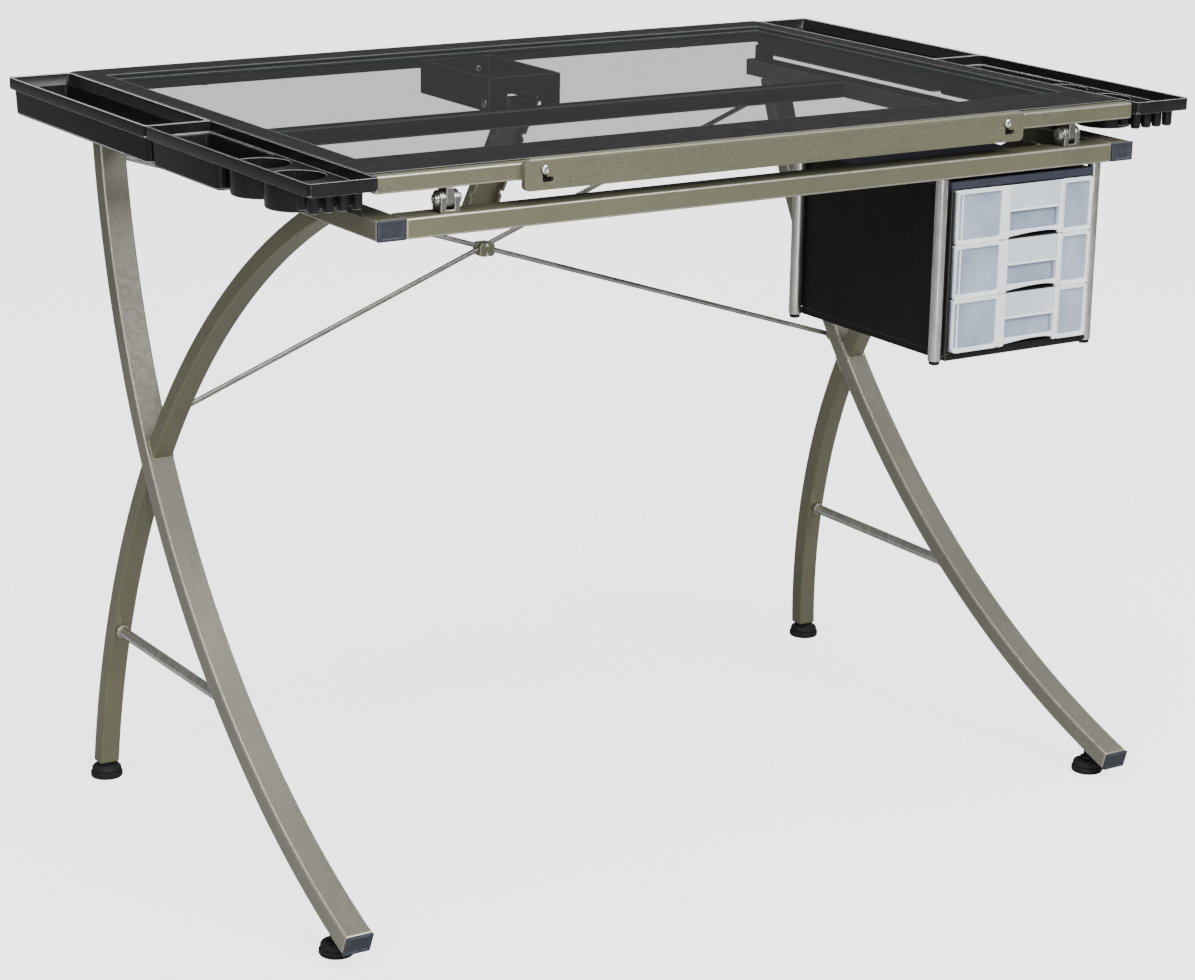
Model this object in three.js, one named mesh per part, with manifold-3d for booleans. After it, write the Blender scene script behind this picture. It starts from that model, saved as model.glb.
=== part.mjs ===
// Drafting table with a glass tilting top, side trays, a pencil ledge and a hanging drawer unit.
// Millimetres, +Z up, front of the table towards -Y. Pieces are modelled with y = 0 at the front
// face of the top, then moved back by MIDDLE_Y so that the part is centred.
import * as THREE from "three";
import { mergeVertices } from "three/addons/utils/BufferGeometryUtils.js";
import Module from "manifold-3d";

const wasm = await Module();
wasm.setup();

// Driving dimensions
const GAP = 0.3;
const MIDDLE_Y = 341.83;
const RAIL_OUT_X = 462;
const RAIL_IN_X = 432;
const RAIL_LOW_Z = 723;
const RAIL_HIGH_Z = 743;
const SIDE_RAIL_FRONT_Y = -2;
const SIDE_RAIL_BACK_Y = 670;
const PLUG_THICK = 3;
const FRONT_RAIL_Y = [-5, 27];
const REAR_RAIL_Y = [471, 491];

const LONG_LEG_THICK = 21.5;
const SHORT_LEG_THICK = 20;
const SHORT_LEG_X = [-457, -434];
const LEG_BEVEL = 1.5;
const LONG_LEG = { y: -337, z: 974.4, radius: 1012.3 };
const SHORT_LEG = { y: -227.6, z: -7.6, radius: 828 };
const LONG_LEG_END_ANGLE = -70.9;
const LEG_FOOT_Z = 17;
const FRONT_FOOT_Y = 35;
const BACK_FOOT_Y = 589;
const LEG_MID_X = 447;
const LEG_SPLAY = 45;
const FOOT_X = 490;
const PAD_RADIUS = 18;
const PAD_HEIGHT = 15;

const STRETCHER_Z = 181;
const STRETCHER_RADIUS = 6;
const BRACE_RADIUS = 3;
const BRACE_LOW_Z = 424;
const BRACE_HIGH_Z = 706;
const BRACE_APART = 6.9;
const BRACE_EYE_RADIUS = 8;
const CLAMP_HALF = [10, 9, 8];
const STEM_RADIUS = 5;
const STEM_INSIDE = 12;

const HINGE_X = 381;
const HINGE_Y = 10;
const HINGE_Z = 755;
const HINGE_LUG_RADIUS = 9;

const TOP_Z = 785;
const FRAME_LOW_Z = 767;
const FRAME_Y = [14.3, 699.5];
const GLASS_OPEN_X = 428;
const GLASS_OPEN_Y = [95, 650.3];
const GLASS_REBATE = 8;
const GLASS_THICK = 5.4;
const METAL_RAIL_Y = [0, 14];
const METAL_RAIL_TOP_Z = 784;

const LEDGE_HALF_X = 305;
const LEDGE_Y = [-8.3, -0.3];
const LEDGE_Z = [757, 788];
const LEDGE_SCREW_X = 283;
const LEDGE_SCREW_Z = 777;
const LEDGE_LIFT = 10;

const TRAY_WIDE = 73;
const TRAY_MIDDLE_Y = 342;
const TRAY_FRONT_Y = -9;
const TRAY_BACK_Y = 694;
const TRAY_RIM_Z = 772;
const TRAY_LOW_Z = 744.5;
const TRAY_WALL = 2.5;
const RIM_WALL = 3;
const BODY_INSET = 4;
const CUP_RADIUS = 31;
const CUP_Y = [158, 86];
const PENCIL_ROWS_Y = [9, 30];
const PENCIL_STEP = 15;
const PENCIL_TUBE_RADIUS = 5.5;
const PENCIL_HOLE_RADIUS = 4;
const PENCIL_TUBE_LOW_Z = 753.5;

const POST_X = [210, 417];
const POST_Y = [5, 254];
const POST_RADIUS = 7;
const CASE_X = [217.5, 409.5];
const CASE_Y = [-3, 252];
const CASE_Z = [528, 719];
const CASE_PLATE = 8;
const CASE_SIDE = 4;
const DRAWER_Y = [-8, 235];
const DRAWER_WALL = 2.2;
const DRAWER_COUNT = 3;
const PULL_X = [293.8, 358.8];
const PULL_ABOVE_FLOOR = 8.6;
const PULL_HIGH = 21;

const BRACKET_HALF_X = 47;
const BRACKET_Y = [494, 650];
const BRACKET_Z = [738, 777];
const BRACKET_WALL = 3;
const PROP_PIVOT = { y: 504, z: 747 };
const PROP_ANGLE = 57;
const PROP_LONG = 180;
const PROP_HALF_X = 21;
const PROP_DEEP = 13;
const PROP_WALL = 3;
const PROP_PIN_RADIUS = 3;

const REST_X = 447;
const REST_Y = 656;

// Materials
const paint = (name, color, metalness, roughness) =>
  new THREE.MeshStandardMaterial({ name, color, metalness, roughness });
const pewter = paint("pewter_paint", 0x8f8a78, 0.6, 0.45);
const satin = paint("satin_rod", 0xb5b2a8, 0.8, 0.35);
const black = paint("black_plastic", 0x242325, 0.0, 0.5);
const blackMetal = paint("black_metal", 0x1d1d1e, 0.3, 0.5);
const panel = paint("black_panel", 0x1c1c18, 0.0, 0.75);
const rubber = paint("black_rubber", 0x171718, 0.0, 0.8);
const steel = paint("bright_steel", 0xc8c8c6, 0.9, 0.3);
const glass = paint("tinted_glass", 0x8a9094, 0.0, 0.08);
glass.transparent = true;
glass.opacity = 0.4;
const frosted = paint("frosted_plastic", 0xdfe6ea, 0.0, 0.35);
frosted.transparent = true;
frosted.opacity = 0.6;

const part = new THREE.Group();

function add(name, geometry, material) {
  const moved = geometry.clone().translate(0, -MIDDLE_Y, 0);
  const mesh = new THREE.Mesh(moved, material);
  mesh.name = name;
  part.add(mesh);
}

// Plain shapes
function slab(x0, x1, y0, y1, z0, z1) {
  const shape = new THREE.BoxGeometry(x1 - x0, y1 - y0, z1 - z0);
  return shape.translate((x0 + x1) / 2, (y0 + y1) / 2, (z0 + z1) / 2);
}

function outline(points) {
  return new THREE.Shape(points.map(([a, b]) => new THREE.Vector2(a, b)));
}

function extrude(points, length, bevel) {
  return new THREE.ExtrudeGeometry(outline(points), {
    depth: length - 2 * bevel,
    bevelEnabled: bevel > 0,
    bevelThickness: bevel,
    bevelSize: bevel,
    bevelOffset: -bevel,
    bevelSegments: 1,
    steps: 1,
  }).translate(0, 0, bevel);
}

// A (y, z) outline pushed along X from x0 to x1.
function prismX(points, x0, x1, bevel = 0) {
  const turn = new THREE.Matrix4().makeBasis(
    new THREE.Vector3(0, 1, 0),
    new THREE.Vector3(0, 0, 1),
    new THREE.Vector3(1, 0, 0),
  );
  return extrude(points, x1 - x0, bevel).applyMatrix4(turn).translate(x0, 0, 0);
}

// An (x, z) outline pushed along Y from y0 to y1.
function prismY(points, y0, y1, bevel = 0) {
  const turn = new THREE.Matrix4().makeBasis(
    new THREE.Vector3(1, 0, 0),
    new THREE.Vector3(0, 0, 1),
    new THREE.Vector3(0, -1, 0),
  );
  return extrude(points, y1 - y0, bevel).applyMatrix4(turn).translate(0, y1, 0);
}

// An (x, y) outline pushed up from z0 to z1.
function prismZ(points, z0, z1, bevel = 0) {
  return extrude(points, z1 - z0, bevel).translate(0, 0, z0);
}

function rectangle(a0, a1, b0, b1) {
  return [
    [a0, b0],
    [a1, b0],
    [a1, b1],
    [a0, b1],
  ];
}

function roundedRectangle(a0, a1, b0, b1, radius, steps = 4) {
  const corners = [
    [a1 - radius, b0 + radius, -90],
    [a1 - radius, b1 - radius, 0],
    [a0 + radius, b1 - radius, 90],
    [a0 + radius, b0 + radius, 180],
  ];
  return corners.flatMap(([a, b, start]) =>
    Array.from({ length: steps + 1 }, (_, i) => {
      const angle = THREE.MathUtils.degToRad(start + (90 * i) / steps);
      return [a + radius * Math.cos(angle), b + radius * Math.sin(angle)];
    }),
  );
}

function rod(from, to, radius, sides = 16) {
  const start = new THREE.Vector3(...from);
  const end = new THREE.Vector3(...to);
  const along = new THREE.Vector3().subVectors(end, start);
  const turn = new THREE.Quaternion().setFromUnitVectors(
    new THREE.Vector3(0, 1, 0),
    along.clone().normalize(),
  );
  const middle = start.add(end).multiplyScalar(0.5);
  return new THREE.CylinderGeometry(radius, radius, along.length(), sides)
    .applyQuaternion(turn)
    .translate(middle.x, middle.y, middle.z);
}

const upright = (x, y, z0, z1, radius, sides) =>
  rod([x, y, z0], [x, y, z1], radius, sides);

// Solids for joining and cutting
function solid(geometry) {
  const bare = geometry.clone();
  bare.deleteAttribute("normal");
  bare.deleteAttribute("uv");
  const merged = mergeVertices(bare, 1e-4);
  return new wasm.Manifold(
    new wasm.Mesh({
      numProp: 3,
      vertProperties: new Float32Array(merged.attributes.position.array),
      triVerts: new Uint32Array(merged.index.array),
    }),
  );
}

function geometryOf(body) {
  const mesh = body.getMesh();
  const made = new THREE.BufferGeometry();
  const points = new THREE.BufferAttribute(mesh.vertProperties, 3);
  made.setAttribute("position", points);
  made.setIndex(new THREE.BufferAttribute(mesh.triVerts, 1));
  const flat = made.toNonIndexed();
  flat.computeVertexNormals();
  return flat;
}

const join = (shapes) => wasm.Manifold.union(shapes.map(solid));
const cut = (shapes, holes) =>
  geometryOf(join(shapes).subtract(wasm.Manifold.union(holes.map(solid))));
const joined = (shapes) => geometryOf(join(shapes));
const mirrorX = (geometry) => {
  const turned = geometry.clone().applyMatrix4(new THREE.Matrix4().makeScale(-1, 1, 1));
  return geometryOf(join([flip(turned)]));
};

function flip(geometry) {
  const source = geometry.index ? geometry.toNonIndexed() : geometry;
  const points = source.attributes.position.clone();
  for (let i = 0; i < points.count; i += 3) {
    const held = [points.getX(i + 1), points.getY(i + 1), points.getZ(i + 1)];
    points.setXYZ(i + 1, points.getX(i + 2), points.getY(i + 2), points.getZ(i + 2));
    points.setXYZ(i + 2, ...held);
  }
  return new THREE.BufferGeometry().setAttribute("position", points);
}

// Adds NAME_left as drawn and NAME_right as its mirror image.
function addPair(name, geometry, material) {
  add(`${name}_left`, geometry, material);
  add(`${name}_right`, mirrorX(geometry), material);
}

// Base frame
function buildBaseFrame() {
  const inner = RAIL_IN_X - GAP;
  const tube = (y) =>
    prismX(roundedRectangle(y[0], y[1], RAIL_LOW_Z, RAIL_HIGH_Z, 2, 2), -inner, inner);
  add("base_front_rail", tube(FRONT_RAIL_Y), pewter);
  add("base_rear_rail", tube(REAR_RAIL_Y), blackMetal);
  const section = roundedRectangle(-RAIL_OUT_X, -RAIL_IN_X, RAIL_LOW_Z, RAIL_HIGH_Z, 2, 2);
  addPair("base_side_rail", prismY(section, SIDE_RAIL_FRONT_Y, SIDE_RAIL_BACK_Y), pewter);
  const front = SIDE_RAIL_FRONT_Y - GAP;
  const back = SIDE_RAIL_BACK_Y + GAP;
  addPair("rail_plug_front", prismY(section, front - PLUG_THICK, front), black);
  addPair("rail_plug_back", prismY(section, back, back + PLUG_THICK), black);
}

// Legs
const onCircle = (circle, radius, angle) => [
  circle.y + radius * Math.cos(angle),
  circle.z + radius * Math.sin(angle),
];
const angleAtHeight = (circle, radius, z) => Math.asin((z - circle.z) / radius);

// Angle on one circle, from its own centre, where it meets the back arc of another circle.
function meetingAngle(circle, radius, other, otherRadius) {
  const dy = other.y - circle.y;
  const dz = other.z - circle.z;
  const apart = Math.hypot(dy, dz);
  const along = (radius ** 2 - otherRadius ** 2 + apart ** 2) / (2 * apart);
  const turn = Math.acos(along / radius);
  const base = Math.atan2(dz, dy);
  const choices = [base + turn, base - turn];
  return choices.reduce((a, b) => (Math.cos(a) > Math.cos(b) ? a : b));
}

function arcStrip(circle, outer, inner, outerAngles, innerAngles, steps) {
  const points = [];
  for (let i = 0; i <= steps; i += 1) {
    const angle = THREE.MathUtils.lerp(outerAngles[0], outerAngles[1], i / steps);
    points.push(onCircle(circle, outer, angle));
  }
  for (let i = steps; i >= 0; i -= 1) {
    const angle = THREE.MathUtils.lerp(innerAngles[0], innerAngles[1], i / steps);
    points.push(onCircle(circle, inner, angle));
  }
  return points;
}

// Height of the underside of the long leg at one depth.
const longLegUnderside = (y) =>
  LONG_LEG.z - Math.sqrt(LONG_LEG.radius ** 2 - (y - LONG_LEG.y) ** 2);

// Hole for a leveler stem, open at the bottom.
const stemHole = (y, top) =>
  upright(-FOOT_X, y, top - 40, top + GAP, STEM_RADIUS + GAP, 20);

// How far out the middle of a leg stands at one height.
const legX = (z) => LEG_MID_X + LEG_SPLAY * (1 - z / RAIL_LOW_Z);

// Leans a left leg piece outward towards the floor.
function splayed(geometry) {
  const lean = LEG_SPLAY / RAIL_LOW_Z;
  const turn = new THREE.Matrix4().set(1, 0, lean, -LEG_SPLAY, 0, 1, 0, 0, 0, 0, 1, 0, 0, 0, 0, 1);
  return geometry.clone().applyMatrix4(turn);
}

function buildLegs() {
  const underRail = RAIL_LOW_Z - GAP;
  const long = LONG_LEG;
  const longInner = long.radius - LONG_LEG_THICK;
  const end = THREE.MathUtils.degToRad(LONG_LEG_END_ANGLE);
  const longLeg = arcStrip(
    long,
    long.radius,
    longInner,
    [end, angleAtHeight(long, long.radius, underRail)],
    [end, angleAtHeight(long, longInner, underRail)],
    24,
  );
  const longTube = splayed(prismX(longLeg, -RAIL_OUT_X, -RAIL_IN_X, LEG_BEVEL));
  const frontHole = stemHole(FRONT_FOOT_Y, longLegUnderside(FRONT_FOOT_Y) + STEM_INSIDE);
  addPair("leg_long", cut([longTube], [frontHole]), pewter);

  const plugGap = GAP / long.radius;
  const plugTurn = PLUG_THICK / long.radius;
  const plugAngles = [end - plugGap - plugTurn, end - plugGap];
  const plug = arcStrip(long, long.radius, longInner, plugAngles, plugAngles, 1);
  addPair("leg_plug", splayed(prismX(plug, -RAIL_OUT_X, -RAIL_IN_X, 1)), black);

  const short = SHORT_LEG;
  const shortInner = short.radius - SHORT_LEG_THICK;
  const nearSide = longInner - GAP;
  const upper = arcStrip(
    short,
    short.radius,
    shortInner,
    [
      meetingAngle(short, short.radius, long, nearSide),
      angleAtHeight(short, short.radius, underRail),
    ],
    [
      meetingAngle(short, shortInner, long, nearSide),
      angleAtHeight(short, shortInner, underRail),
    ],
    14,
  );
  const upperTube = splayed(prismX(upper, ...SHORT_LEG_X, LEG_BEVEL));
  addPair("leg_short_upper", upperTube, pewter);

  const farSide = long.radius + GAP;
  const lower = arcStrip(
    short,
    short.radius,
    shortInner,
    [
      angleAtHeight(short, short.radius, LEG_FOOT_Z),
      meetingAngle(short, short.radius, long, farSide),
    ],
    [
      angleAtHeight(short, shortInner, LEG_FOOT_Z),
      meetingAngle(short, shortInner, long, farSide),
    ],
    14,
  );
  const lowerTube = splayed(prismX(lower, ...SHORT_LEG_X, LEG_BEVEL));
  const backHole = stemHole(BACK_FOOT_Y, LEG_FOOT_Z + STEM_INSIDE);
  addPair("leg_short_lower", cut([lowerTube], [backHole]), pewter);
}

function levelerFoot(y, stemTop) {
  const profile = [
    [0, 0],
    [PAD_RADIUS - 2, 0],
    [PAD_RADIUS, 2],
    [PAD_RADIUS, 6],
    [PAD_RADIUS - 1.5, 7],
    [PAD_RADIUS - 1.5, 11],
    [PAD_RADIUS - 4, PAD_HEIGHT],
    [STEM_RADIUS, PAD_HEIGHT],
    [STEM_RADIUS, stemTop],
    [0, stemTop],
  ];
  const points = profile.map(([r, z]) => new THREE.Vector2(r, z));
  return new THREE.LatheGeometry(points, 24)
    .rotateX(Math.PI / 2)
    .translate(-FOOT_X, y, 0);
}

function buildFeet() {
  const frontStem = longLegUnderside(FRONT_FOOT_Y) + STEM_INSIDE;
  addPair("leveler_front", levelerFoot(FRONT_FOOT_Y, frontStem), rubber);
  addPair("leveler_back", levelerFoot(BACK_FOOT_Y, LEG_FOOT_Z + STEM_INSIDE), rubber);
}

function buildStretchers() {
  const dz = STRETCHER_Z - LONG_LEG.z;
  const longInner = LONG_LEG.radius - LONG_LEG_THICK;
  const shortInner = SHORT_LEG.radius - SHORT_LEG_THICK;
  const topFace = LONG_LEG.y + Math.sqrt(longInner ** 2 - (dz + STRETCHER_RADIUS) ** 2);
  const far = LONG_LEG.y + Math.sqrt(LONG_LEG.radius ** 2 - (dz + STRETCHER_RADIUS) ** 2);
  const shortZ = STRETCHER_Z + STRETCHER_RADIUS - SHORT_LEG.z;
  const near = SHORT_LEG.y + Math.sqrt(shortInner ** 2 - shortZ ** 2);
  const start = Math.max(topFace, far) + GAP;
  const x = -legX(STRETCHER_Z);
  const bar = rod(
    [x, start, STRETCHER_Z],
    [x, near - GAP, STRETCHER_Z],
    STRETCHER_RADIUS,
    20,
  );
  addPair("foot_stretcher", bar, satin);
}

// A point behind the back face of the long leg, at a height and a distance off that face.
function behindLongLeg(x, z, off) {
  const angle = angleAtHeight(LONG_LEG, LONG_LEG.radius, z);
  return [x, ...onCircle(LONG_LEG, LONG_LEG.radius + off, angle)];
}

// side is -1 when the low end is on the left leg; off is the gap between rod and leg.
function braceRod(side, off, radius, sides) {
  const low = behindLongLeg(side * legX(BRACE_LOW_Z), BRACE_LOW_Z, off);
  const high = behindLongLeg(-side * legX(BRACE_HIGH_Z), BRACE_HIGH_Z, off);
  return rod(low, high, radius, sides);
}

function braceEyes(side, off) {
  const ends = [
    [side * legX(BRACE_LOW_Z), BRACE_LOW_Z],
    [-side * legX(BRACE_HIGH_Z), BRACE_HIGH_Z],
  ];
  return ends.flatMap(([x, z]) => [
    rod(behindLongLeg(x, z, GAP), behindLongLeg(x, z, off + 1.5), BRACE_EYE_RADIUS, 16),
    rod(behindLongLeg(x, z, off), behindLongLeg(x, z, off + 5), 5, 6),
  ]);
}

function buildBraces() {
  const near = GAP + BRACE_RADIUS + 0.9;
  const far = near + BRACE_APART;
  const rods = { left: [-1, near], right: [1, far] };
  const bores = [];
  for (const [name, [side, off]] of Object.entries(rods)) {
    const bar = braceRod(side, off, BRACE_RADIUS, 10);
    add(`brace_rod_${name}`, joined([bar, ...braceEyes(side, off)]), satin);
    bores.push(braceRod(side, off, BRACE_RADIUS + 0.5, 12));
  }
  const middle = (near + far) / 2;
  const low = behindLongLeg(0, BRACE_LOW_Z, middle);
  const high = behindLongLeg(0, BRACE_HIGH_Z, middle);
  const y = (low[1] + high[1]) / 2;
  const z = (low[2] + high[2]) / 2;
  const [x1, dy, dz] = CLAMP_HALF;
  const block = prismY(roundedRectangle(-x1, x1, z - dz, z + dz, 3, 2), y - dy, y + dy);
  add("brace_clamp", cut([block], bores), pewter);
}

// Front hinges
function lugOutline(radius, endZ, halfWide) {
  const up = endZ > HINGE_Z;
  const points = [];
  for (let i = 0; i <= 12; i += 1) {
    const angle = THREE.MathUtils.degToRad((up ? 180 : 0) + 15 * i);
    points.push([HINGE_Y + radius * Math.cos(angle), HINGE_Z + radius * Math.sin(angle)]);
  }
  const last = up ? 1 : -1;
  points.push([HINGE_Y + last * halfWide, endZ]);
  points.push([HINGE_Y - last * halfWide, endZ]);
  return points;
}

function buildHinges() {
  const hole = rod(
    [-HINGE_X - 20, HINGE_Y, HINGE_Z],
    [-HINGE_X + 20, HINGE_Y, HINGE_Z],
    3.4,
    16,
  );
  const cheekOut = -HINGE_X - 10.5;
  const cheekIn = -HINGE_X + 10.5;
  const foot = RAIL_HIGH_Z + GAP;
  const cheek = lugOutline(HINGE_LUG_RADIUS, foot, 8);
  const fork = cut(
    [
      prismX(cheek, cheekOut, -HINGE_X - 4.5),
      prismX(cheek, -HINGE_X + 4.5, cheekIn),
      slab(cheekOut, cheekIn, HINGE_Y - 8, HINGE_Y + 8, foot, foot + 2.2),
    ],
    [hole],
  );
  addPair("hinge_fork", fork, satin);
  const tongueTop = FRAME_LOW_Z - GAP;
  const tongue = lugOutline(HINGE_LUG_RADIUS - 0.6, tongueTop, 8.4);
  addPair("hinge_tongue", cut([prismX(tongue, -HINGE_X - 4.2, -HINGE_X + 4.2)], [hole]), satin);
  const bolt = joined([
    rod([cheekOut - 3, HINGE_Y, HINGE_Z], [cheekIn + 4.5, HINGE_Y, HINGE_Z], 3, 16),
    rod([cheekOut - 4, HINGE_Y, HINGE_Z], [cheekOut - GAP, HINGE_Y, HINGE_Z], 7, 18),
    rod([cheekIn + GAP, HINGE_Y, HINGE_Z], [cheekIn + 5, HINGE_Y, HINGE_Z], 5.5, 6),
  ]);
  addPair("hinge_bolt", bolt, steel);
}

// Tilting top
function buildTop() {
  const frame = prismZ(
    roundedRectangle(-RAIL_OUT_X, RAIL_OUT_X, FRAME_Y[0], FRAME_Y[1], 5, 3),
    FRAME_LOW_Z,
    TOP_Z,
    1,
  );
  const [y0, y1] = GLASS_OPEN_Y;
  const wide = GLASS_OPEN_X + GLASS_REBATE;
  const paneLow = TOP_Z - GLASS_THICK - 2 * GAP;
  const opening = slab(-GLASS_OPEN_X, GLASS_OPEN_X, y0, y1, FRAME_LOW_Z - 1, TOP_Z + 1);
  const rebate = slab(-wide, wide, y0 - GLASS_REBATE, y1 + GLASS_REBATE, paneLow, TOP_Z + 1);
  add("top_frame", cut([frame], [opening, rebate]), black);
  const paneX = wide - GAP;
  const pane = prismZ(
    rectangle(-paneX, paneX, y0 - GLASS_REBATE + GAP, y1 + GLASS_REBATE - GAP),
    paneLow + GAP,
    TOP_Z - GAP,
    0.8,
  );
  add("glass_pane", pane, glass);
  const rail = prismX(
    roundedRectangle(METAL_RAIL_Y[0], METAL_RAIL_Y[1], FRAME_LOW_Z, METAL_RAIL_TOP_Z, 2, 2),
    -RAIL_OUT_X,
    RAIL_OUT_X,
  );
  add("top_front_rail", rail, pewter);
  const rest = slab(-REST_X - 9, -REST_X + 9, REST_Y - 9, REST_Y + 9,
    RAIL_HIGH_Z + GAP, FRAME_LOW_Z - GAP);
  addPair("rest_pad", rest, rubber);
}

// Ledge with two L-shaped slots, held by two screws
function buildLedge() {
  const plate = prismY(
    roundedRectangle(-LEDGE_HALF_X, LEDGE_HALF_X, LEDGE_Z[0], LEDGE_Z[1], 5, 3),
    LEDGE_Y[0],
    LEDGE_Y[1],
    1,
  );
  const slots = [-LEDGE_SCREW_X, LEDGE_SCREW_X].flatMap((x) => {
    const half = 2.7;
    const low = LEDGE_SCREW_Z - LEDGE_LIFT - half;
    const [y0, y1] = [LEDGE_Y[0] - 1, LEDGE_Y[1] + 1];
    return [
      slab(x - half, x + half, y0, y1, low, LEDGE_SCREW_Z + half),
      slab(x - half, x + 10, y0, y1, low, low + 2 * half),
    ];
  });
  add("pencil_ledge", cut([plate], slots), pewter);
  for (const [side, x] of [["left", -LEDGE_SCREW_X], ["right", LEDGE_SCREW_X]]) {
    const head = LEDGE_Y[0] - GAP;
    const screw = joined([
      rod([x, head - 2.2, LEDGE_SCREW_Z], [x, head, LEDGE_SCREW_Z], 4.6, 20),
      rod([x, head - 1, LEDGE_SCREW_Z], [x, METAL_RAIL_Y[0] - GAP / 2, LEDGE_SCREW_Z], 2.2, 12),
    ]);
    add(`ledge_screw_${side}`, screw, steel);
  }
}

// Side trays
const TRAY_OUT_X = -RAIL_OUT_X - GAP - TRAY_WIDE;
const TRAY_IN_X = -RAIL_OUT_X - GAP;

const trayBlock = (inset, y0, y1, z0, z1) =>
  slab(TRAY_OUT_X + inset, TRAY_IN_X - inset, y0 + inset, y1 - inset, z0, z1);

function rearTray() {
  const y0 = TRAY_MIDDLE_Y + GAP / 2;
  const y1 = TRAY_BACK_Y;
  const rimFloor = TRAY_RIM_Z + TRAY_WALL;
  return cut(
    [
      trayBlock(0, y0, y1, TRAY_RIM_Z, TOP_Z),
      trayBlock(BODY_INSET, y0, y1, TRAY_LOW_Z, TRAY_RIM_Z + 1),
    ],
    [
      trayBlock(RIM_WALL, y0, y1, rimFloor, TOP_Z + 1),
      trayBlock(BODY_INSET + TRAY_WALL, y0, y1, TRAY_LOW_Z + TRAY_WALL, rimFloor + 1),
    ],
  );
}

function frontTray() {
  const y0 = TRAY_FRONT_Y;
  const y1 = TRAY_MIDDLE_Y - GAP / 2;
  const rimFloor = TRAY_RIM_Z + TRAY_WALL;
  const middleX = (TRAY_OUT_X + TRAY_IN_X) / 2;
  const boxFront = CUP_Y[0] + CUP_RADIUS - 1;
  const bodies = [
    trayBlock(0, y0, y1, TRAY_RIM_Z, TOP_Z),
    trayBlock(BODY_INSET, boxFront - BODY_INSET, y1, TRAY_LOW_Z, TRAY_RIM_Z + 1),
  ];
  const holes = [
    trayBlock(RIM_WALL, y0, y1, rimFloor, TOP_Z + 1),
    trayBlock(BODY_INSET + TRAY_WALL, boxFront - BODY_INSET, y1,
      TRAY_LOW_Z + TRAY_WALL, rimFloor + 1),
  ];
  for (const y of CUP_Y) {
    const inside = CUP_RADIUS - TRAY_WALL;
    bodies.push(upright(middleX, y, TRAY_LOW_Z, TRAY_RIM_Z + 1, CUP_RADIUS, 24));
    holes.push(upright(middleX, y, TRAY_LOW_Z + TRAY_WALL, rimFloor + 1, inside, 24));
  }
  for (const y of PENCIL_ROWS_Y) {
    for (let i = 0; i < 4; i += 1) {
      const x = middleX + (i - 1.5) * PENCIL_STEP;
      bodies.push(upright(x, y, PENCIL_TUBE_LOW_Z, TRAY_RIM_Z + 1, PENCIL_TUBE_RADIUS, 12));
      holes.push(upright(x, y, PENCIL_TUBE_LOW_Z + 2, rimFloor + 1, PENCIL_HOLE_RADIUS, 10));
    }
  }
  return cut(bodies, holes);
}

function buildTrays() {
  addPair("tray_rear", rearTray(), black);
  addPair("tray_front", frontTray(), black);
}

// Hanging drawer unit
function buildDrawerCase() {
  const sides = ["left", "right"];
  POST_X.forEach((x, i) => {
    const base = CASE_Z[0] + CASE_PLATE + GAP;
    add(`drawer_post_front_${sides[i]}`,
      upright(x, POST_Y[0], base, RAIL_LOW_Z - GAP, POST_RADIUS, 20), satin);
    add(`drawer_post_rear_${sides[i]}`,
      upright(x, POST_Y[1], base, CASE_Z[1], POST_RADIUS, 20), satin);
  });
  const [x0, x1] = CASE_X;
  const [y0, y1] = CASE_Y;
  const [z0, z1] = CASE_Z;
  const tabs = POST_Y.map((y) =>
    slab(POST_X[0] - POST_RADIUS, POST_X[1] + POST_RADIUS, y - POST_RADIUS, y + POST_RADIUS,
      z0, z0 + CASE_PLATE));
  const nubs = POST_X.flatMap((x) => POST_Y.map((y) => upright(x, y, z0 - 4, z0 + 1, 6, 16)));
  const floor = slab(x0, x1, y0, y1, z0, z0 + CASE_PLATE);
  add("drawer_case_floor", joined([floor, ...tabs, ...nubs]), panel);
  add("drawer_case_roof", slab(x0, x1, y0, y1, z1 - CASE_PLATE, z1), panel);
  const low = z0 + CASE_PLATE + GAP;
  const high = z1 - CASE_PLATE - GAP;
  add("drawer_case_side_left", slab(x0, x0 + CASE_SIDE, y0, y1, low, high), panel);
  add("drawer_case_side_right", slab(x1 - CASE_SIDE, x1, y0, y1, low, high), panel);
  const inX = CASE_SIDE + GAP;
  add("drawer_case_back", slab(x0 + inX, x1 - inX, y1 - CASE_SIDE, y1, low, high), panel);
  const hanger = slab(POST_X[0] - POST_RADIUS, REST_X, POST_Y[1] - POST_RADIUS,
    POST_Y[1] + POST_RADIUS, CASE_Z[1] + GAP, RAIL_LOW_Z - GAP);
  add("drawer_hanger", hanger, blackMetal);
}

function drawerTray(z0, z1) {
  const x0 = CASE_X[0] + CASE_SIDE + GAP;
  const x1 = CASE_X[1] - CASE_SIDE - GAP;
  const [y0, y1] = DRAWER_Y;
  const wall = DRAWER_WALL;
  const [pull0, pull1] = PULL_X;
  const low = z0 + PULL_ABOVE_FLOOR;
  const high = low + PULL_HIGH;
  const recess = slab(pull0, pull1, y0 - 1, y0 + 5, low, high);
  const backing = slab(pull0 - 3, pull1 + 3, y0 + 1, y0 + 8, low - 3, high + 3);
  const box = slab(x0, x1, y0, y1, z0, z1);
  const hollow = slab(x0 + wall, x1 - wall, y0 + wall + 0.8, y1 - wall, z0 + wall, z1 + 1);
  const shell = solid(box).subtract(solid(hollow)).add(solid(backing));
  return geometryOf(shell.subtract(solid(recess)));
}

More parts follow.
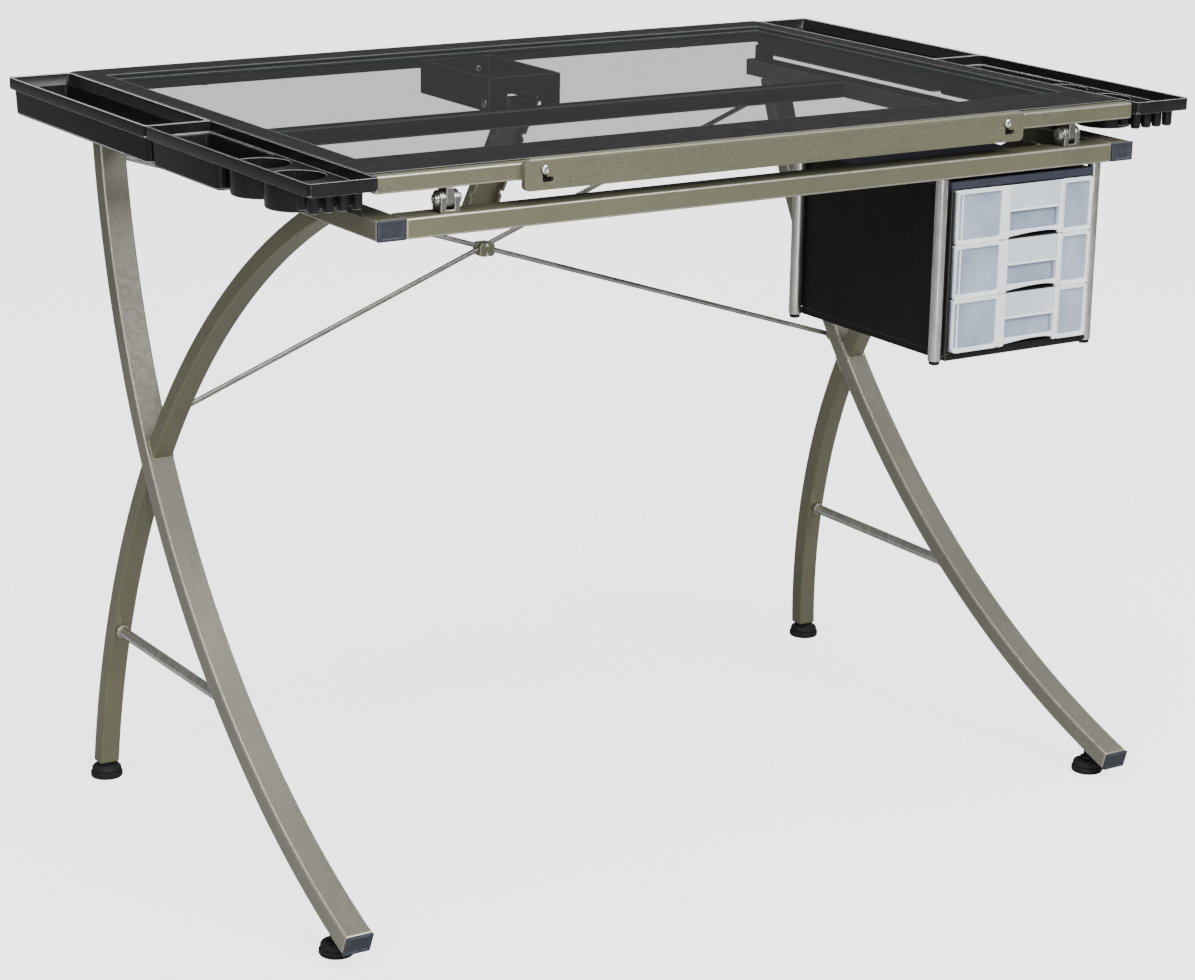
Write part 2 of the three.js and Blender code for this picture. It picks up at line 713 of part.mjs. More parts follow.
function buildDrawers() {
  const low = CASE_Z[0] + CASE_PLATE + GAP;
  const high = CASE_Z[1] - CASE_PLATE - GAP;
  const pitch = (high - low) / DRAWER_COUNT;
  const names = ["bottom", "middle", "top"];
  names.forEach((name, i) => {
    const z0 = low + i * pitch + GAP / 2;
    add(`drawer_${name}`, drawerTray(z0, z0 + pitch - GAP), frosted);
  });
}

// Tilt prop under the top
function buildProp() {
  const pin = rod(
    [-BRACKET_HALF_X - 2, PROP_PIVOT.y, PROP_PIVOT.z],
    [BRACKET_HALF_X + 2, PROP_PIVOT.y, PROP_PIVOT.z],
    PROP_PIN_RADIUS,
    14,
  );
  const pinHole = rod(
    [-BRACKET_HALF_X - 9, PROP_PIVOT.y, PROP_PIVOT.z],
    [BRACKET_HALF_X + 9, PROP_PIVOT.y, PROP_PIVOT.z],
    PROP_PIN_RADIUS + 0.3,
    14,
  );
  const half = BRACKET_HALF_X;
  const wall = BRACKET_WALL;
  const [y0, y1] = BRACKET_Y;
  const [z0, z1] = BRACKET_Z;
  const block = slab(-half, half, y0, y1, z0, z1);
  const inside = slab(-half + wall, half - wall, y0 + 40, y1 - wall, z0 - 1, z1 + 1);
  const knuckleRoom = slab(-half + wall, half - wall, y0 - 1, y0 + 41, z0 - 1, z1 - 20);
  const bracket = cut([block], [inside, knuckleRoom, pinHole]);
  add("prop_bracket", bracket, blackMetal);
  add("prop_pin", pin, steel);

  const angle = THREE.MathUtils.degToRad(PROP_ANGLE);
  const along = [Math.cos(angle), -Math.sin(angle)];
  const across = [Math.sin(angle), Math.cos(angle)];
  const place = ([a, b]) => [
    PROP_PIVOT.y + along[0] * a + across[0] * b,
    PROP_PIVOT.z + along[1] * a + across[1] * b,
  ];
  const half2 = PROP_DEEP / 2;
  const points = [[-half2, -half2 + 2], [-half2, half2 - 2], [-half2 + 2, half2], [PROP_LONG, half2],
    [PROP_LONG, -half2]];
  for (let i = 0; i < 6; i += 1) {
    const a = PROP_LONG - 14 - i * 22;
    points.push([a, -half2], [a - 3, -half2 + 5], [a - 8, -half2 + 5], [a - 8, -half2]);
  }
  points.push([-half2 + 2, -half2]);
  const outside = prismX(points.map(place).reverse(), -PROP_HALF_X, PROP_HALF_X);
  const innerPoints = [[10, -half2 - 1], [PROP_LONG + 1, -half2 - 1], [PROP_LONG + 1, half2 - 3],
    [10, half2 - 3]];
  const channel = prismX(innerPoints.map(place).reverse(), -PROP_HALF_X + PROP_WALL,
    PROP_HALF_X - PROP_WALL);
  const made = solid(outside).subtract(solid(channel)).subtract(solid(pinHole));
  add("tilt_prop", geometryOf(made), pewter);
}

buildBaseFrame();
buildLegs();
buildFeet();
buildStretchers();
buildBraces();
buildHinges();
buildTop();
buildLedge();
buildTrays();
buildDrawerCase();
buildDrawers();
buildProp();

export default part;
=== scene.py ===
"""Looks of a drafting table with a glass tilting top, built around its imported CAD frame.

Pieces are modelled in millimetres with y = 0 at the front face of the top, as in the CAD source,
and turned into metres in the part's own frame by place().
"""

import math

import bmesh
import bpy
from mathutils import Matrix, Vector


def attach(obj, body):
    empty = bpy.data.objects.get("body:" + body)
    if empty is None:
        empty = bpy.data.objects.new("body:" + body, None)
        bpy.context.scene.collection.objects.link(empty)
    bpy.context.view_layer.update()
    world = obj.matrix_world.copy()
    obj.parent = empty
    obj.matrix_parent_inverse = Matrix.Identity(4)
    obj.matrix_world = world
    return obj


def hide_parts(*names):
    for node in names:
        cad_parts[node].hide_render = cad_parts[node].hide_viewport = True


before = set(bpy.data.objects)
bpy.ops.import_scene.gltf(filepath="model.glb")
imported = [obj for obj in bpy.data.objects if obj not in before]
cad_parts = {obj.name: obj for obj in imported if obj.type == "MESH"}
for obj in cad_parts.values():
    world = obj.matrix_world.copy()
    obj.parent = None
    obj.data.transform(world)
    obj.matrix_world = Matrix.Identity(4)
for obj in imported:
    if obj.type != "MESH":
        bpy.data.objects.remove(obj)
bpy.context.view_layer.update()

MIDDLE_Y = 341.83
GAP = 0.3
SIDES = (("left", 1), ("right", -1))


def place(x, y, z):
    return Vector((x, y - MIDDLE_Y, z)) / 1000.0


# ---------------------------------------------------------------- camera
CAMERA_AT = (-1818.3, -2483.0, 1317.0)
YAW, PITCH, ROLL = (math.radians(a) for a in (32.88, 16.37, 0.96))
FOCAL_PER_WIDTH = 3112.0 / 1195.0


def add_camera():
    data = bpy.data.cameras.new("camera")
    data.sensor_width = 36.0
    data.lens = 36.0 * FOCAL_PER_WIDTH
    data.clip_start = 0.1
    data.clip_end = 80.0
    camera = bpy.data.objects.new("camera", data)
    bpy.context.scene.collection.objects.link(camera)
    forward = Vector(
        (math.sin(YAW) * math.cos(PITCH), math.cos(YAW) * math.cos(PITCH), -math.sin(PITCH))
    )
    level = Vector((math.cos(YAW), -math.sin(YAW), 0.0))
    above = level.cross(forward)
    right = math.cos(ROLL) * level + math.sin(ROLL) * above
    up = -math.sin(ROLL) * level + math.cos(ROLL) * above
    turn = Matrix((right, up, -forward)).transposed()
    camera.matrix_world = Matrix.Translation(place(*CAMERA_AT)) @ turn.to_4x4()
    bpy.context.scene.camera = camera


add_camera()


# ---------------------------------------------------------------- materials
# Places of the colour sockets on a Mix node.
MIX_FACTOR, MIX_A, MIX_B, MIX_RESULT = 0, 6, 7, 2


class Paint:
    """A Principled material with a few procedural layers."""

    def __init__(self, name, **sockets):
        self.material = bpy.data.materials.new(name)
        self.material.use_nodes = True
        self.tree = self.material.node_tree
        self.shader = self.tree.nodes["Principled BSDF"]
        for key, value in sockets.items():
            self.shader.inputs[key.replace("_", " ")].default_value = value
        self.where = self.tree.nodes.new("ShaderNodeTexCoord").outputs["Object"]

    def link(self, source, target):
        self.tree.links.new(source, target)

    def noise(self, scale, detail, stretch=(1.0, 1.0, 1.0), rough=0.55):
        mapping = self.tree.nodes.new("ShaderNodeMapping")
        mapping.inputs["Scale"].default_value = stretch
        self.link(self.where, mapping.inputs["Vector"])
        node = self.tree.nodes.new("ShaderNodeTexNoise")
        node.inputs["Scale"].default_value = scale
        node.inputs["Detail"].default_value = detail
        node.inputs["Roughness"].default_value = rough
        self.link(mapping.outputs["Vector"], node.inputs["Vector"])
        return node.outputs["Fac"]

    def cells(self, scale):
        node = self.tree.nodes.new("ShaderNodeTexVoronoi")
        node.inputs["Scale"].default_value = scale
        self.link(self.where, node.inputs["Vector"])
        return node.outputs["Distance"]

    def ramp(self, source, low, high, a, b):
        node = self.tree.nodes.new("ShaderNodeValToRGB")
        node.color_ramp.elements[0].position = low
        node.color_ramp.elements[1].position = high
        node.color_ramp.elements[0].color = (*a, 1.0)
        node.color_ramp.elements[1].color = (*b, 1.0)
        self.link(source, node.inputs["Fac"])
        return node.outputs["Color"]

    def spread(self, source, low, high, a, b):
        node = self.tree.nodes.new("ShaderNodeMapRange")
        for key, value in zip(("From Min", "From Max", "To Min", "To Max"), (low, high, a, b)):
            node.inputs[key].default_value = value
        self.link(source, node.inputs["Value"])
        return node.outputs["Result"]

    def blend(self, kind, factor, a, b):
        node = self.tree.nodes.new("ShaderNodeMix")
        node.data_type = "RGBA"
        node.blend_type = kind
        node.inputs[MIX_FACTOR].default_value = factor
        self.link(a, node.inputs[MIX_A])
        self.link(b, node.inputs[MIX_B])
        return node.outputs[MIX_RESULT]

    def colour(self, source):
        self.link(source, self.shader.inputs["Base Color"])

    def rough(self, source):
        self.link(source, self.shader.inputs["Roughness"])

    def bump(self, source, strength, distance):
        node = self.tree.nodes.new("ShaderNodeBump")
        node.inputs["Strength"].default_value = strength
        node.inputs["Distance"].default_value = distance
        self.link(source, node.inputs["Height"])
        self.link(node.outputs["Normal"], self.shader.inputs["Normal"])


def metal_paint(name, dark, light, metallic, low, high):
    """Metallic powder coat: fine sparkle over slow shade changes, with scuffs."""
    paint = Paint(name, Metallic=metallic, Coat_Weight=0.12, Coat_Roughness=0.25)
    sparkle = paint.ramp(paint.noise(1900.0, 2.0), 0.38, 0.66, dark, light)
    drift = paint.ramp(paint.noise(7.0, 3.0), 0.3, 0.75, (0.88,) * 3, (1.08, 1.07, 1.05))
    marks = paint.noise(60.0, 8.0, (1.0, 1.0, 0.3), 0.7)
    scuff = paint.ramp(marks, 0.72, 0.80, (1.0,) * 3, (0.80,) * 3)
    shade = paint.blend("MULTIPLY", 1.0, sparkle, drift)
    paint.colour(paint.blend("MULTIPLY", 0.6, shade, scuff))
    paint.rough(paint.spread(paint.noise(140.0, 6.0), 0.3, 0.7, low, high))
    paint.bump(paint.noise(1100.0, 3.0), 0.12, 0.0003)
    return paint.material


def brushed(name, dark, light, low, high, stretch):
    """Drawn or brushed metal with fine lines and faint blotches."""
    paint = Paint(name, Metallic=0.95)
    lines = paint.ramp(paint.noise(700.0, 4.0, stretch), 0.3, 0.7, dark, light)
    blotch = paint.ramp(paint.noise(35.0, 5.0), 0.35, 0.8, (0.9,) * 3, (1.05,) * 3)
    paint.colour(paint.blend("MULTIPLY", 1.0, lines, blotch))
    paint.rough(paint.spread(paint.noise(260.0, 5.0, stretch), 0.3, 0.7, low, high))
    paint.bump(paint.noise(900.0, 3.0, stretch), 0.08, 0.0002)
    return paint.material


def moulded(name, dark, light, low, high, grain=1300.0, depth=0.25, shine=0.16):
    """Moulded plastic or rubber: fine texture, dust in soft patches, rubbed patches."""
    paint = Paint(name, Specular_IOR_Level=shine)
    base = paint.ramp(paint.noise(420.0, 5.0), 0.3, 0.72, dark, light)
    dust = paint.ramp(paint.noise(16.0, 6.0, rough=0.65), 0.45, 0.85, (1.0,) * 3, (1.35, 1.33, 1.3))
    paint.colour(paint.blend("MULTIPLY", 0.8, base, dust))
    paint.rough(paint.spread(paint.noise(45.0, 6.0), 0.3, 0.72, low, high))
    paint.bump(paint.cells(grain), depth, 0.00025)
    return paint.material


def see_through(name, dark, light, alpha, low, high, ripple=0.05, **sockets):
    """Clear or frosted sheet with slight clouding and a faint surface ripple."""
    paint = Paint(name, Alpha=alpha, **sockets)
    paint.colour(paint.ramp(paint.noise(22.0, 4.0), 0.3, 0.7, dark, light))
    paint.rough(paint.spread(paint.noise(90.0, 4.0), 0.3, 0.7, low, high))
    paint.bump(paint.noise(240.0, 2.0), ripple, 0.0003)
    return paint.material


PEWTER = metal_paint("pewter", (0.135, 0.132, 0.084), (0.258, 0.254, 0.172), 0.5, 0.30, 0.44)
# Painted light: a lighter copy of the pewter for the long legs, whose faces catch more light.
PEWTER_LIT = metal_paint("pewter_lit", (0.180, 0.175, 0.137), (0.345, 0.336, 0.278), 0.5, 0.28, 0.42)
# Painted highlight: a lighter copy of the pewter for the bevelled edges of pewter pieces, and for weld
# beads and collars.
PEWTER_HIGHLIGHT = metal_paint("pewter_highlight", (0.32, 0.31, 0.25), (0.54, 0.525, 0.44), 0.6, 0.24, 0.36)
ROD = brushed("satin_rod", (0.52, 0.51, 0.48), (0.80, 0.79, 0.75), 0.15, 0.26, (0.25, 0.25, 0.06))
STEEL = brushed("hinge_steel", (0.20, 0.197, 0.185), (0.35, 0.343, 0.325), 0.28, 0.42, (1.0, 1.0, 1.0))
CROSS_ROD = brushed("cross_rod", (0.34, 0.333, 0.31), (0.56, 0.55, 0.52), 0.22, 0.34, (0.05, 0.4, 0.2))
BRIGHT = brushed("bright_steel", (0.55, 0.55, 0.54), (0.80, 0.80, 0.79), 0.14, 0.28, (1.0, 1.0, 1.0))
BLACK = moulded(
    "black_plastic", (0.007, 0.0065, 0.0075), (0.014, 0.013, 0.0145),
    0.18, 0.27, 1300.0, 0.05, 0.24,
)
FRAME_BLACK = moulded(
    "frame_black", (0.007, 0.0062, 0.0068), (0.013, 0.0118, 0.0126),
    0.26, 0.38, shine=0.06,
)
# Painted highlight: a lighter copy of the black plastic for the bevelled edges of black pieces.
BLACK_HIGHLIGHT = moulded("black_highlight", (0.10, 0.10, 0.105), (0.20, 0.20, 0.21), 0.24, 0.36)
# Painted highlight: a pale grey on the trays' bevelled edges, for the bright lines along rims and corners.
TRAY_HIGHLIGHT = moulded("tray_highlight", (0.34, 0.34, 0.355), (0.60, 0.60, 0.62), 0.20, 0.32)
PLUG = moulded("plug_plastic", (0.024, 0.026, 0.034), (0.045, 0.048, 0.06), 0.30, 0.44)
# Painted highlight: a lighter, bluer copy of the plug plastic on the caps' bevelled edges.
PLUG_HIGHLIGHT = moulded("plug_highlight", (0.036, 0.038, 0.052), (0.064, 0.068, 0.086), 0.32, 0.46)
METAL_BLACK = moulded("black_metal", (0.006, 0.006, 0.007), (0.012, 0.012, 0.013), 0.36, 0.5, 1600.0, 0.18)
PANEL = moulded("black_panel", (0.0078, 0.0078, 0.0072), (0.0135, 0.0133, 0.0122), 0.46, 0.62, 700.0, 0.3)
# Painted highlight: a lighter copy of the panel black on the case's bevelled edges.
PANEL_HIGHLIGHT = moulded("panel_highlight", (0.03, 0.03, 0.028), (0.05, 0.05, 0.045), 0.4, 0.55, 700.0, 0.2)
CASE_CAP = moulded("case_cap", (0.022, 0.024, 0.036), (0.040, 0.043, 0.060), 0.34, 0.5, 900.0, 0.2)
RUBBER = moulded("black_rubber", (0.011, 0.011, 0.012), (0.021, 0.021, 0.022), 0.5, 0.72, 900.0, 0.4)
GLASS = see_through(
    "tinted_glass", (0.005, 0.0065, 0.0085), (0.009, 0.0115, 0.0145),
    0.48, 0.015, 0.04, 0.01, Specular_IOR_Level=0.045,
)
GLASS_EDGE = see_through("glass_edge", (0.20, 0.26, 0.26), (0.32, 0.38, 0.38), 0.72, 0.05, 0.12, 0.02)
CLEAR = see_through("drawer_clear", (0.30, 0.38, 0.50), (0.50, 0.58, 0.70), 0.72, 0.14, 0.28)
FROST = see_through("drawer_frost", (0.60, 0.68, 0.78), (0.80, 0.86, 0.93), 0.90, 0.20, 0.36)
RIM = see_through("drawer_rim", (0.84, 0.88, 0.93), (0.95, 0.97, 1.0), 0.97, 0.16, 0.30)
SMOKE = see_through("drawer_slot", (0.10, 0.12, 0.17), (0.22, 0.25, 0.33), 0.92, 0.16, 0.30)


# ---------------------------------------------------------------- shapes
def rounded(a0, a1, b0, b1, radius, steps=5):
    points = []
    corners = (
        (a1 - radius, b0 + radius, -90),
        (a1 - radius, b1 - radius, 0),
        (a0 + radius, b1 - radius, 90),
        (a0 + radius, b0 + radius, 180),
    )
    for a, b, start in corners:
        for i in range(steps + 1):
            angle = math.radians(start + 90 * i / steps)
            points.append((a + radius * math.cos(angle), b + radius * math.sin(angle)))
    return points


class Form:
    """Closed shells in model millimetres, gathered into one mesh."""

    def __init__(self, side=1):
        self.bm = bmesh.new()
        self.side = side

    def corner(self, point):
        return self.bm.verts.new(place(self.side * point[0], point[1], point[2]))

    def loft(self, rings, loop=False):
        rows = [[self.corner(p) for p in ring] for ring in rings]
        count = len(rings[0])
        pairs = list(zip(rows, rows[1:])) + ([(rows[-1], rows[0])] if loop else [])
        for a, b in pairs:
            for i in range(count):
                j = (i + 1) % count
                self.bm.faces.new((a[i], a[j], b[j], b[i]))
        if not loop:
            self.bm.faces.new(list(reversed(rows[0])))
            self.bm.faces.new(rows[-1])
        return self

    @staticmethod
    def on(axis, at, point):
        u, v = point
        return {"x": (at, u, v), "y": (u, at, v), "z": (u, v, at)}[axis]

    def prism(self, axis, outline, a, b):
        return self.loft([[self.on(axis, t, p) for p in outline] for t in (a, b)])

    def rings(self, axis, steps, loop=False):
        """steps is a list of (outline, place along the axis)."""
        return self.loft([[self.on(axis, t, p) for p in line] for line, t in steps], loop)

    def box(self, x0, x1, y0, y1, z0, z1):
        return self.prism("z", [(x0, y0), (x1, y0), (x1, y1), (x0, y1)], z0, z1)

    def turned(self, profile, start, direction, steps=32):
        """profile is a list of (radius, distance along the direction from start)."""
        along = Vector(direction).normalized()
        across = along.orthogonal().normalized()
        other = along.cross(across)
        rings = []
        for radius, far in profile:
            middle = Vector(start) + along * far
            ring = []
            for i in range(steps):
                angle = 2 * math.pi * i / steps
                offset = across * math.cos(angle) + other * math.sin(angle)
                ring.append(tuple(middle + offset * radius))
            rings.append(ring)
        return self.loft(rings)

    def bar(self, p, q, radius, steps=20, edge=0.4):
        along = Vector(q) - Vector(p)
        ends = [(radius - edge, 0.0), (radius, edge), (radius, along.length - edge)]
        return self.turned(ends + [(radius - edge, along.length)], p, along, steps)

    def screw_head(self, start, direction, radius, high, steps=24):
        """Button head with a hex socket."""
        profile = [(radius, 0.0), (radius, high * 0.35), (radius * 0.86, high * 0.75)]
        profile += [(radius * 0.6, high), (radius * 0.42, high), (radius * 0.38, high * 0.45)]
        return self.turned(profile, start, direction, steps)

    def nut(self, start, direction, radius, high):
        profile = [(radius * 0.94, 0.0), (radius, high * 0.12), (radius, high * 0.88)]
        return self.turned(profile + [(radius * 0.94, high)], start, direction, 6)


def carve(item, cutter_form):
    """Cuts the shells of cutter_form out of item, joining item's own shells on the way."""
    mesh = bpy.data.meshes.new("cutter")
    bmesh.ops.recalc_face_normals(cutter_form.bm, faces=cutter_form.bm.faces)
    cutter_form.bm.to_mesh(mesh)
    cutter = bpy.data.objects.new("cutter", mesh)
    bpy.context.scene.collection.objects.link(cutter)
    step = item.modifiers.new("carve", "BOOLEAN")
    step.operation = "DIFFERENCE"
    step.object = cutter
    step.solver = "EXACT"
    step.use_self = True
    bpy.context.view_layer.update()
    graph = bpy.context.evaluated_depsgraph_get()
    made = bpy.data.meshes.new_from_object(item.evaluated_get(graph))
    item.modifiers.clear()
    item.data = made
    bpy.data.objects.remove(cutter)


def piece(name, form, look, body, nodes, edge=0.0, segments=2, cutter=None, angle=32.0):
    """Turns a form into a named piece of one body that stands for some CAD nodes."""
    looks = look if isinstance(look, tuple) else (look,)
    mesh = bpy.data.meshes.new(name)
    bmesh.ops.recalc_face_normals(form.bm, faces=form.bm.faces)
    form.bm.to_mesh(mesh)
    form.bm.free()
    item = bpy.data.objects.new(name, mesh)
    bpy.context.scene.collection.objects.link(item)
    for material in looks:
        mesh.materials.append(material)
    if cutter:
        carve(item, cutter)
        item.data.materials.clear()
        for material in looks:
            item.data.materials.append(material)
        item.data.polygons.foreach_set("material_index", [0] * len(item.data.polygons))
    for face in item.data.polygons:
        face.use_smooth = True
    item.data.set_sharp_from_angle(angle=math.radians(angle))
    if edge:
        # The bevel faces take the last look. Where two looks are given, that is mostly a lighter copy: a
        # painted highlight on the edges.
        bevel = item.modifiers.new("edge", "BEVEL")
        bevel.width = edge / 1000.0
        bevel.segments = segments
        bevel.limit_method = "ANGLE"
        bevel.angle_limit = math.radians(angle)
        bevel.harden_normals = True
        bevel.material = len(looks) - 1
    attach(item, body)
    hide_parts(*([nodes] if isinstance(nodes, str) else nodes))


# ---------------------------------------------------------------- legs
RAIL_OUT, RAIL_IN = 462.0, 432.0
LEG_MID_X, LEG_SPLAY, FOOT_X = 447.0, 45.0, 490.0
LONG_X, SHORT_X = (-RAIL_OUT, -RAIL_IN), (-457.0, -434.0)
LONG_THICK, SHORT_THICK = 21.5, 20.0
# Each leg is an arc: centre y, centre z and outer radius.
LONG_LEG = (-337.0, 974.4, 1012.3)
SHORT_LEG = (-227.6, -7.6, 828.0)
LONG_END = math.radians(-70.9)
SHORT_LEG_FOOT_Z = 17.0
RAIL_LOW, RAIL_HIGH = 723.0, 743.0
UNDER_RAIL = RAIL_LOW - GAP
# Per foot row: place in y, top of the stem and height of its lock nut.
FEET = {"front": (35.0, 43.0, 4.2), "back": (589.0, 29.0, 1.6)}


def on_circle(circle, radius, angle):
    return circle[0] + radius * math.cos(angle), circle[1] + radius * math.sin(angle)


def at_height(circle, radius, z):
    return math.asin((z - circle[1]) / radius)


def meeting(circle, radius, other, other_radius):
    """Angle on one circle where it meets the back arc of another."""
    dy, dz = other[0] - circle[0], other[1] - circle[1]
    apart = math.hypot(dy, dz)
    along = (radius**2 - other_radius**2 + apart**2) / (2 * apart)
    turn, base = math.acos(along / radius), math.atan2(dz, dy)
    return max((base + turn, base - turn), key=math.cos)


def leg_x(z):
    return LEG_MID_X + LEG_SPLAY * (1 - z / RAIL_LOW)


def leaned(x, y, z):
    """A point of a left leg, moved outward as the legs spread towards the floor."""
    return x - LEG_SPLAY * (1 - z / RAIL_LOW), y, z


def leg(circle, thick, wide, first, last, steps, side):
    """first and last give the end angle at the inner and at the outer radius."""
    inner, outer = circle[2] - thick, circle[2]
    rings = []
    for i in range(steps + 1):
        t = i / steps
        a, b = (first[k] + (last[k] - first[k]) * t for k in (0, 1))
        low, high = on_circle(circle, inner, a), on_circle(circle, outer, b)
        ring = ((wide[0], *low), (wide[1], *low), (wide[1], *high), (wide[0], *high))
        rings.append([leaned(*p) for p in ring])
    return Form(side).loft(rings), rings


def weld(name, corners, side):
    """A bead round the end of a tube."""
    form = Form(side)
    for p, q in zip(corners, corners[1:] + corners[:1]):
        form.bar(p, q, 1.5, 10, 0.7)
    # The bead takes the painted-highlight pewter.
    piece(name, form, PEWTER_HIGHLIGHT, "base", [])


def cap_on(form, base, out, inset, sink):
    """A push-in end cap: a plate on a four-cornered tube end with a sunk inner square."""
    middle = sum((Vector(p) for p in base), Vector()) / 4
    out = Vector(out)

    def ring(draw, lift):
        corners = [Vector(p) for p in base]
        return [tuple(p + (middle - p).normalized() * draw + out * lift) for p in corners]

    sunk = ring(inset + 0.6, 1 - sink)
    return form.loft([ring(0, 0), ring(0, 0.75), ring(0.7, 1), ring(inset, 1), sunk])


def add_legs(word, side):
    inner, outer = LONG_LEG[2] - LONG_THICK, LONG_LEG[2]
    ends = [at_height(LONG_LEG, r, UNDER_RAIL) for r in (inner, outer)]
    form, rings = leg(LONG_LEG, LONG_THICK, LONG_X, (LONG_END, LONG_END), ends, 80, side)
    # The long leg takes the painted-light pewter, with a painted highlight on its edges.
    looks = (PEWTER_LIT, PEWTER_HIGHLIGHT)
    piece(f"leg_long_{word}_tube", form, looks, "base", f"leg_long_{word}", 2.4, 3)

    cap = Form(side)
    start = LONG_END - GAP / outer
    corners = ((-RAIL_OUT, inner), (-RAIL_IN, inner), (-RAIL_IN, outer), (-RAIL_OUT, outer))
    base = [leaned(x, *on_circle(LONG_LEG, r, start)) for x, r in corners]
    out = (0.0, 3.0 * math.sin(start), -3.0 * math.cos(start))
    cap_on(cap, base, out, 5.0, 0.35)
    piece(f"leg_cap_{word}", cap, (PLUG, PLUG_HIGHLIGHT), "base", f"leg_plug_{word}", 0.9)

    radii = (SHORT_LEG[2] - SHORT_THICK, SHORT_LEG[2])
    near = [meeting(SHORT_LEG, r, LONG_LEG, inner - GAP) for r in radii]
    tops = [at_height(SHORT_LEG, r, UNDER_RAIL) for r in radii]
    form, rings = leg(SHORT_LEG, SHORT_THICK, SHORT_X, near, tops, 48, side)
    node = f"leg_short_upper_{word}"
    piece(f"{node}_tube", form, PEWTER, "base", node, 2.4, 3)
    weld(f"weld_upper_{word}", rings[0], side)

    far = [meeting(SHORT_LEG, r, LONG_LEG, outer + GAP) for r in radii]
    feet = [at_height(SHORT_LEG, r, SHORT_LEG_FOOT_Z) for r in radii]
    form, rings = leg(SHORT_LEG, SHORT_THICK, SHORT_X, feet, far, 48, side)
    node = f"leg_short_lower_{word}"
    piece(f"{node}_tube", form, PEWTER, "base", node, 2.4, 3)
    weld(f"weld_lower_{word}", rings[-1], side)


def add_foot(where, word, side):
    y, stem_top, nut_high = FEET[where]
    spot = (-FOOT_X, y, 0.0)
    profile = [(15.0, 0.0), (17.3, 0.5), (18.0, 1.8), (18.0, 5.6), (17.3, 6.7), (16.2, 7.0)]
    profile += [(16.2, 7.8), (16.6, 8.4), (16.4, 11.0), (15.2, 12.8), (12.0, 14.4)]
    profile += [(8.0, 15.0), (6.0, 15.0)]
    body, node = f"foot_{where}_{word}", f"leveler_{where}_{word}"
    pad = Form(side).turned(profile, spot, (0, 0, 1), 56)
    piece(f"foot_pad_{where}_{word}", pad, RUBBER, body, node)
    thread = []
    high, pitch = 14.0, 1.25
    while high < stem_top - pitch:
        thread += [(4.5, high), (4.95, high + pitch * 0.5)]
        high += pitch
    stem = Form(side).turned(thread + [(4.4, stem_top)], spot, (0, 0, 1), 24)
    stem.nut((-FOOT_X, y, 14.6), (0, 0, 1), 8.6, nut_high)
    piece(f"foot_stem_{where}_{word}", stem, METAL_BLACK, body, node, angle=50)


# ---------------------------------------------------------------- base frame
FRONT_RAIL_Y, REAR_RAIL_Y, SIDE_RAIL_Y = (-5.0, 27.0), (471.0, 491.0), (-2.0, 670.0)
STRETCHER_Z, STRETCHER_RADIUS = 181.0, 6.0
CAP_HIGH = 3.0
CLAMP_HALF = (10.0, 9.0, 8.0)


def square(a, b):
    return [(a[0], b[0]), (a[1], b[0]), (a[1], b[1]), (a[0], b[1])]


def add_rail(name, node, look, axis, outline, ends, side=1):
    form = Form(side).prism(axis, outline, *ends)
    piece(name, form, look, "base", node, 2.0, 3)


def add_base():
    inner = RAIL_IN - GAP
    tall = (RAIL_LOW, RAIL_HIGH)
    pewter = (PEWTER, PEWTER_HIGHLIGHT)
    section = square(FRONT_RAIL_Y, tall)
    ends = (-inner, inner)
    add_rail("front_cross_tube", "base_front_rail", pewter, "x", section, ends)
    section = square(REAR_RAIL_Y, tall)
    black = (METAL_BLACK, BLACK_HIGHLIGHT)
    add_rail("rear_cross_tube", "base_rear_rail", black, "x", section, ends)
    section = square((-RAIL_OUT, -RAIL_IN), tall)
    front, back = SIDE_RAIL_Y
    for word, side in SIDES:
        name, node = f"side_tube_{word}", f"base_side_rail_{word}"
        add_rail(name, node, pewter, "y", section, SIDE_RAIL_Y, side)
        for where, y, out in (("front", front - GAP, -CAP_HIGH), ("back", back + GAP, CAP_HIGH)):
            base = [(x, y, z) for x, z in section]
            form = cap_on(Form(side), base, (0.0, out, 0.0), 4.5, 0.35)
            name, node = f"rail_cap_{where}_{word}", f"rail_plug_{where}_{word}"
            piece(name, form, (PLUG, PLUG_HIGHLIGHT), "base", node, 0.9)


def back_of(circle, radius, z):
    """Depth of an arc's rear half at a height."""
    return circle[0] + math.sqrt(radius**2 - (z - circle[1]) ** 2)


def add_stretcher(word, side):
    z, low = STRETCHER_Z, STRETCHER_Z + STRETCHER_RADIUS
    x = -leg_x(z)
    start = back_of(LONG_LEG, LONG_LEG[2], low) + GAP
    stop = back_of(SHORT_LEG, SHORT_LEG[2] - SHORT_THICK, low) - GAP
    form = Form(side).bar((x, start, z), (x, stop, z), STRETCHER_RADIUS, 36)
    piece(f"stretcher_{word}", form, ROD, "base", f"foot_stretcher_{word}")
    collars = Form(side)
    rear = [(7.2, 0), (7.6, 1.0), (7.2, 2.6), (6.2, 3.2)]
    near = [(6.2, 0), (7.2, 0.6), (7.6, 2.2), (7.2, 3.2)]
    collars.turned(rear, (x, stop - 3.0, z), (0, 1, 0), 36)
    collars.turned(near, (x, start - 0.2, z), (0, 1, 0), 36)
    # The collars are all painted-highlight pewter.
    piece(f"stretcher_collars_{word}", collars, PEWTER_HIGHLIGHT, "base", [])


BRACE_LOW_Z, BRACE_HIGH_Z, BRACE_APART = 424.0, 706.0, 6.9
BRACE_RADIUS = 3.0


def behind_leg(x, z, off):
    angle = at_height(LONG_LEG, LONG_LEG[2], z)
    return (x, *on_circle(LONG_LEG, LONG_LEG[2] + off, angle))


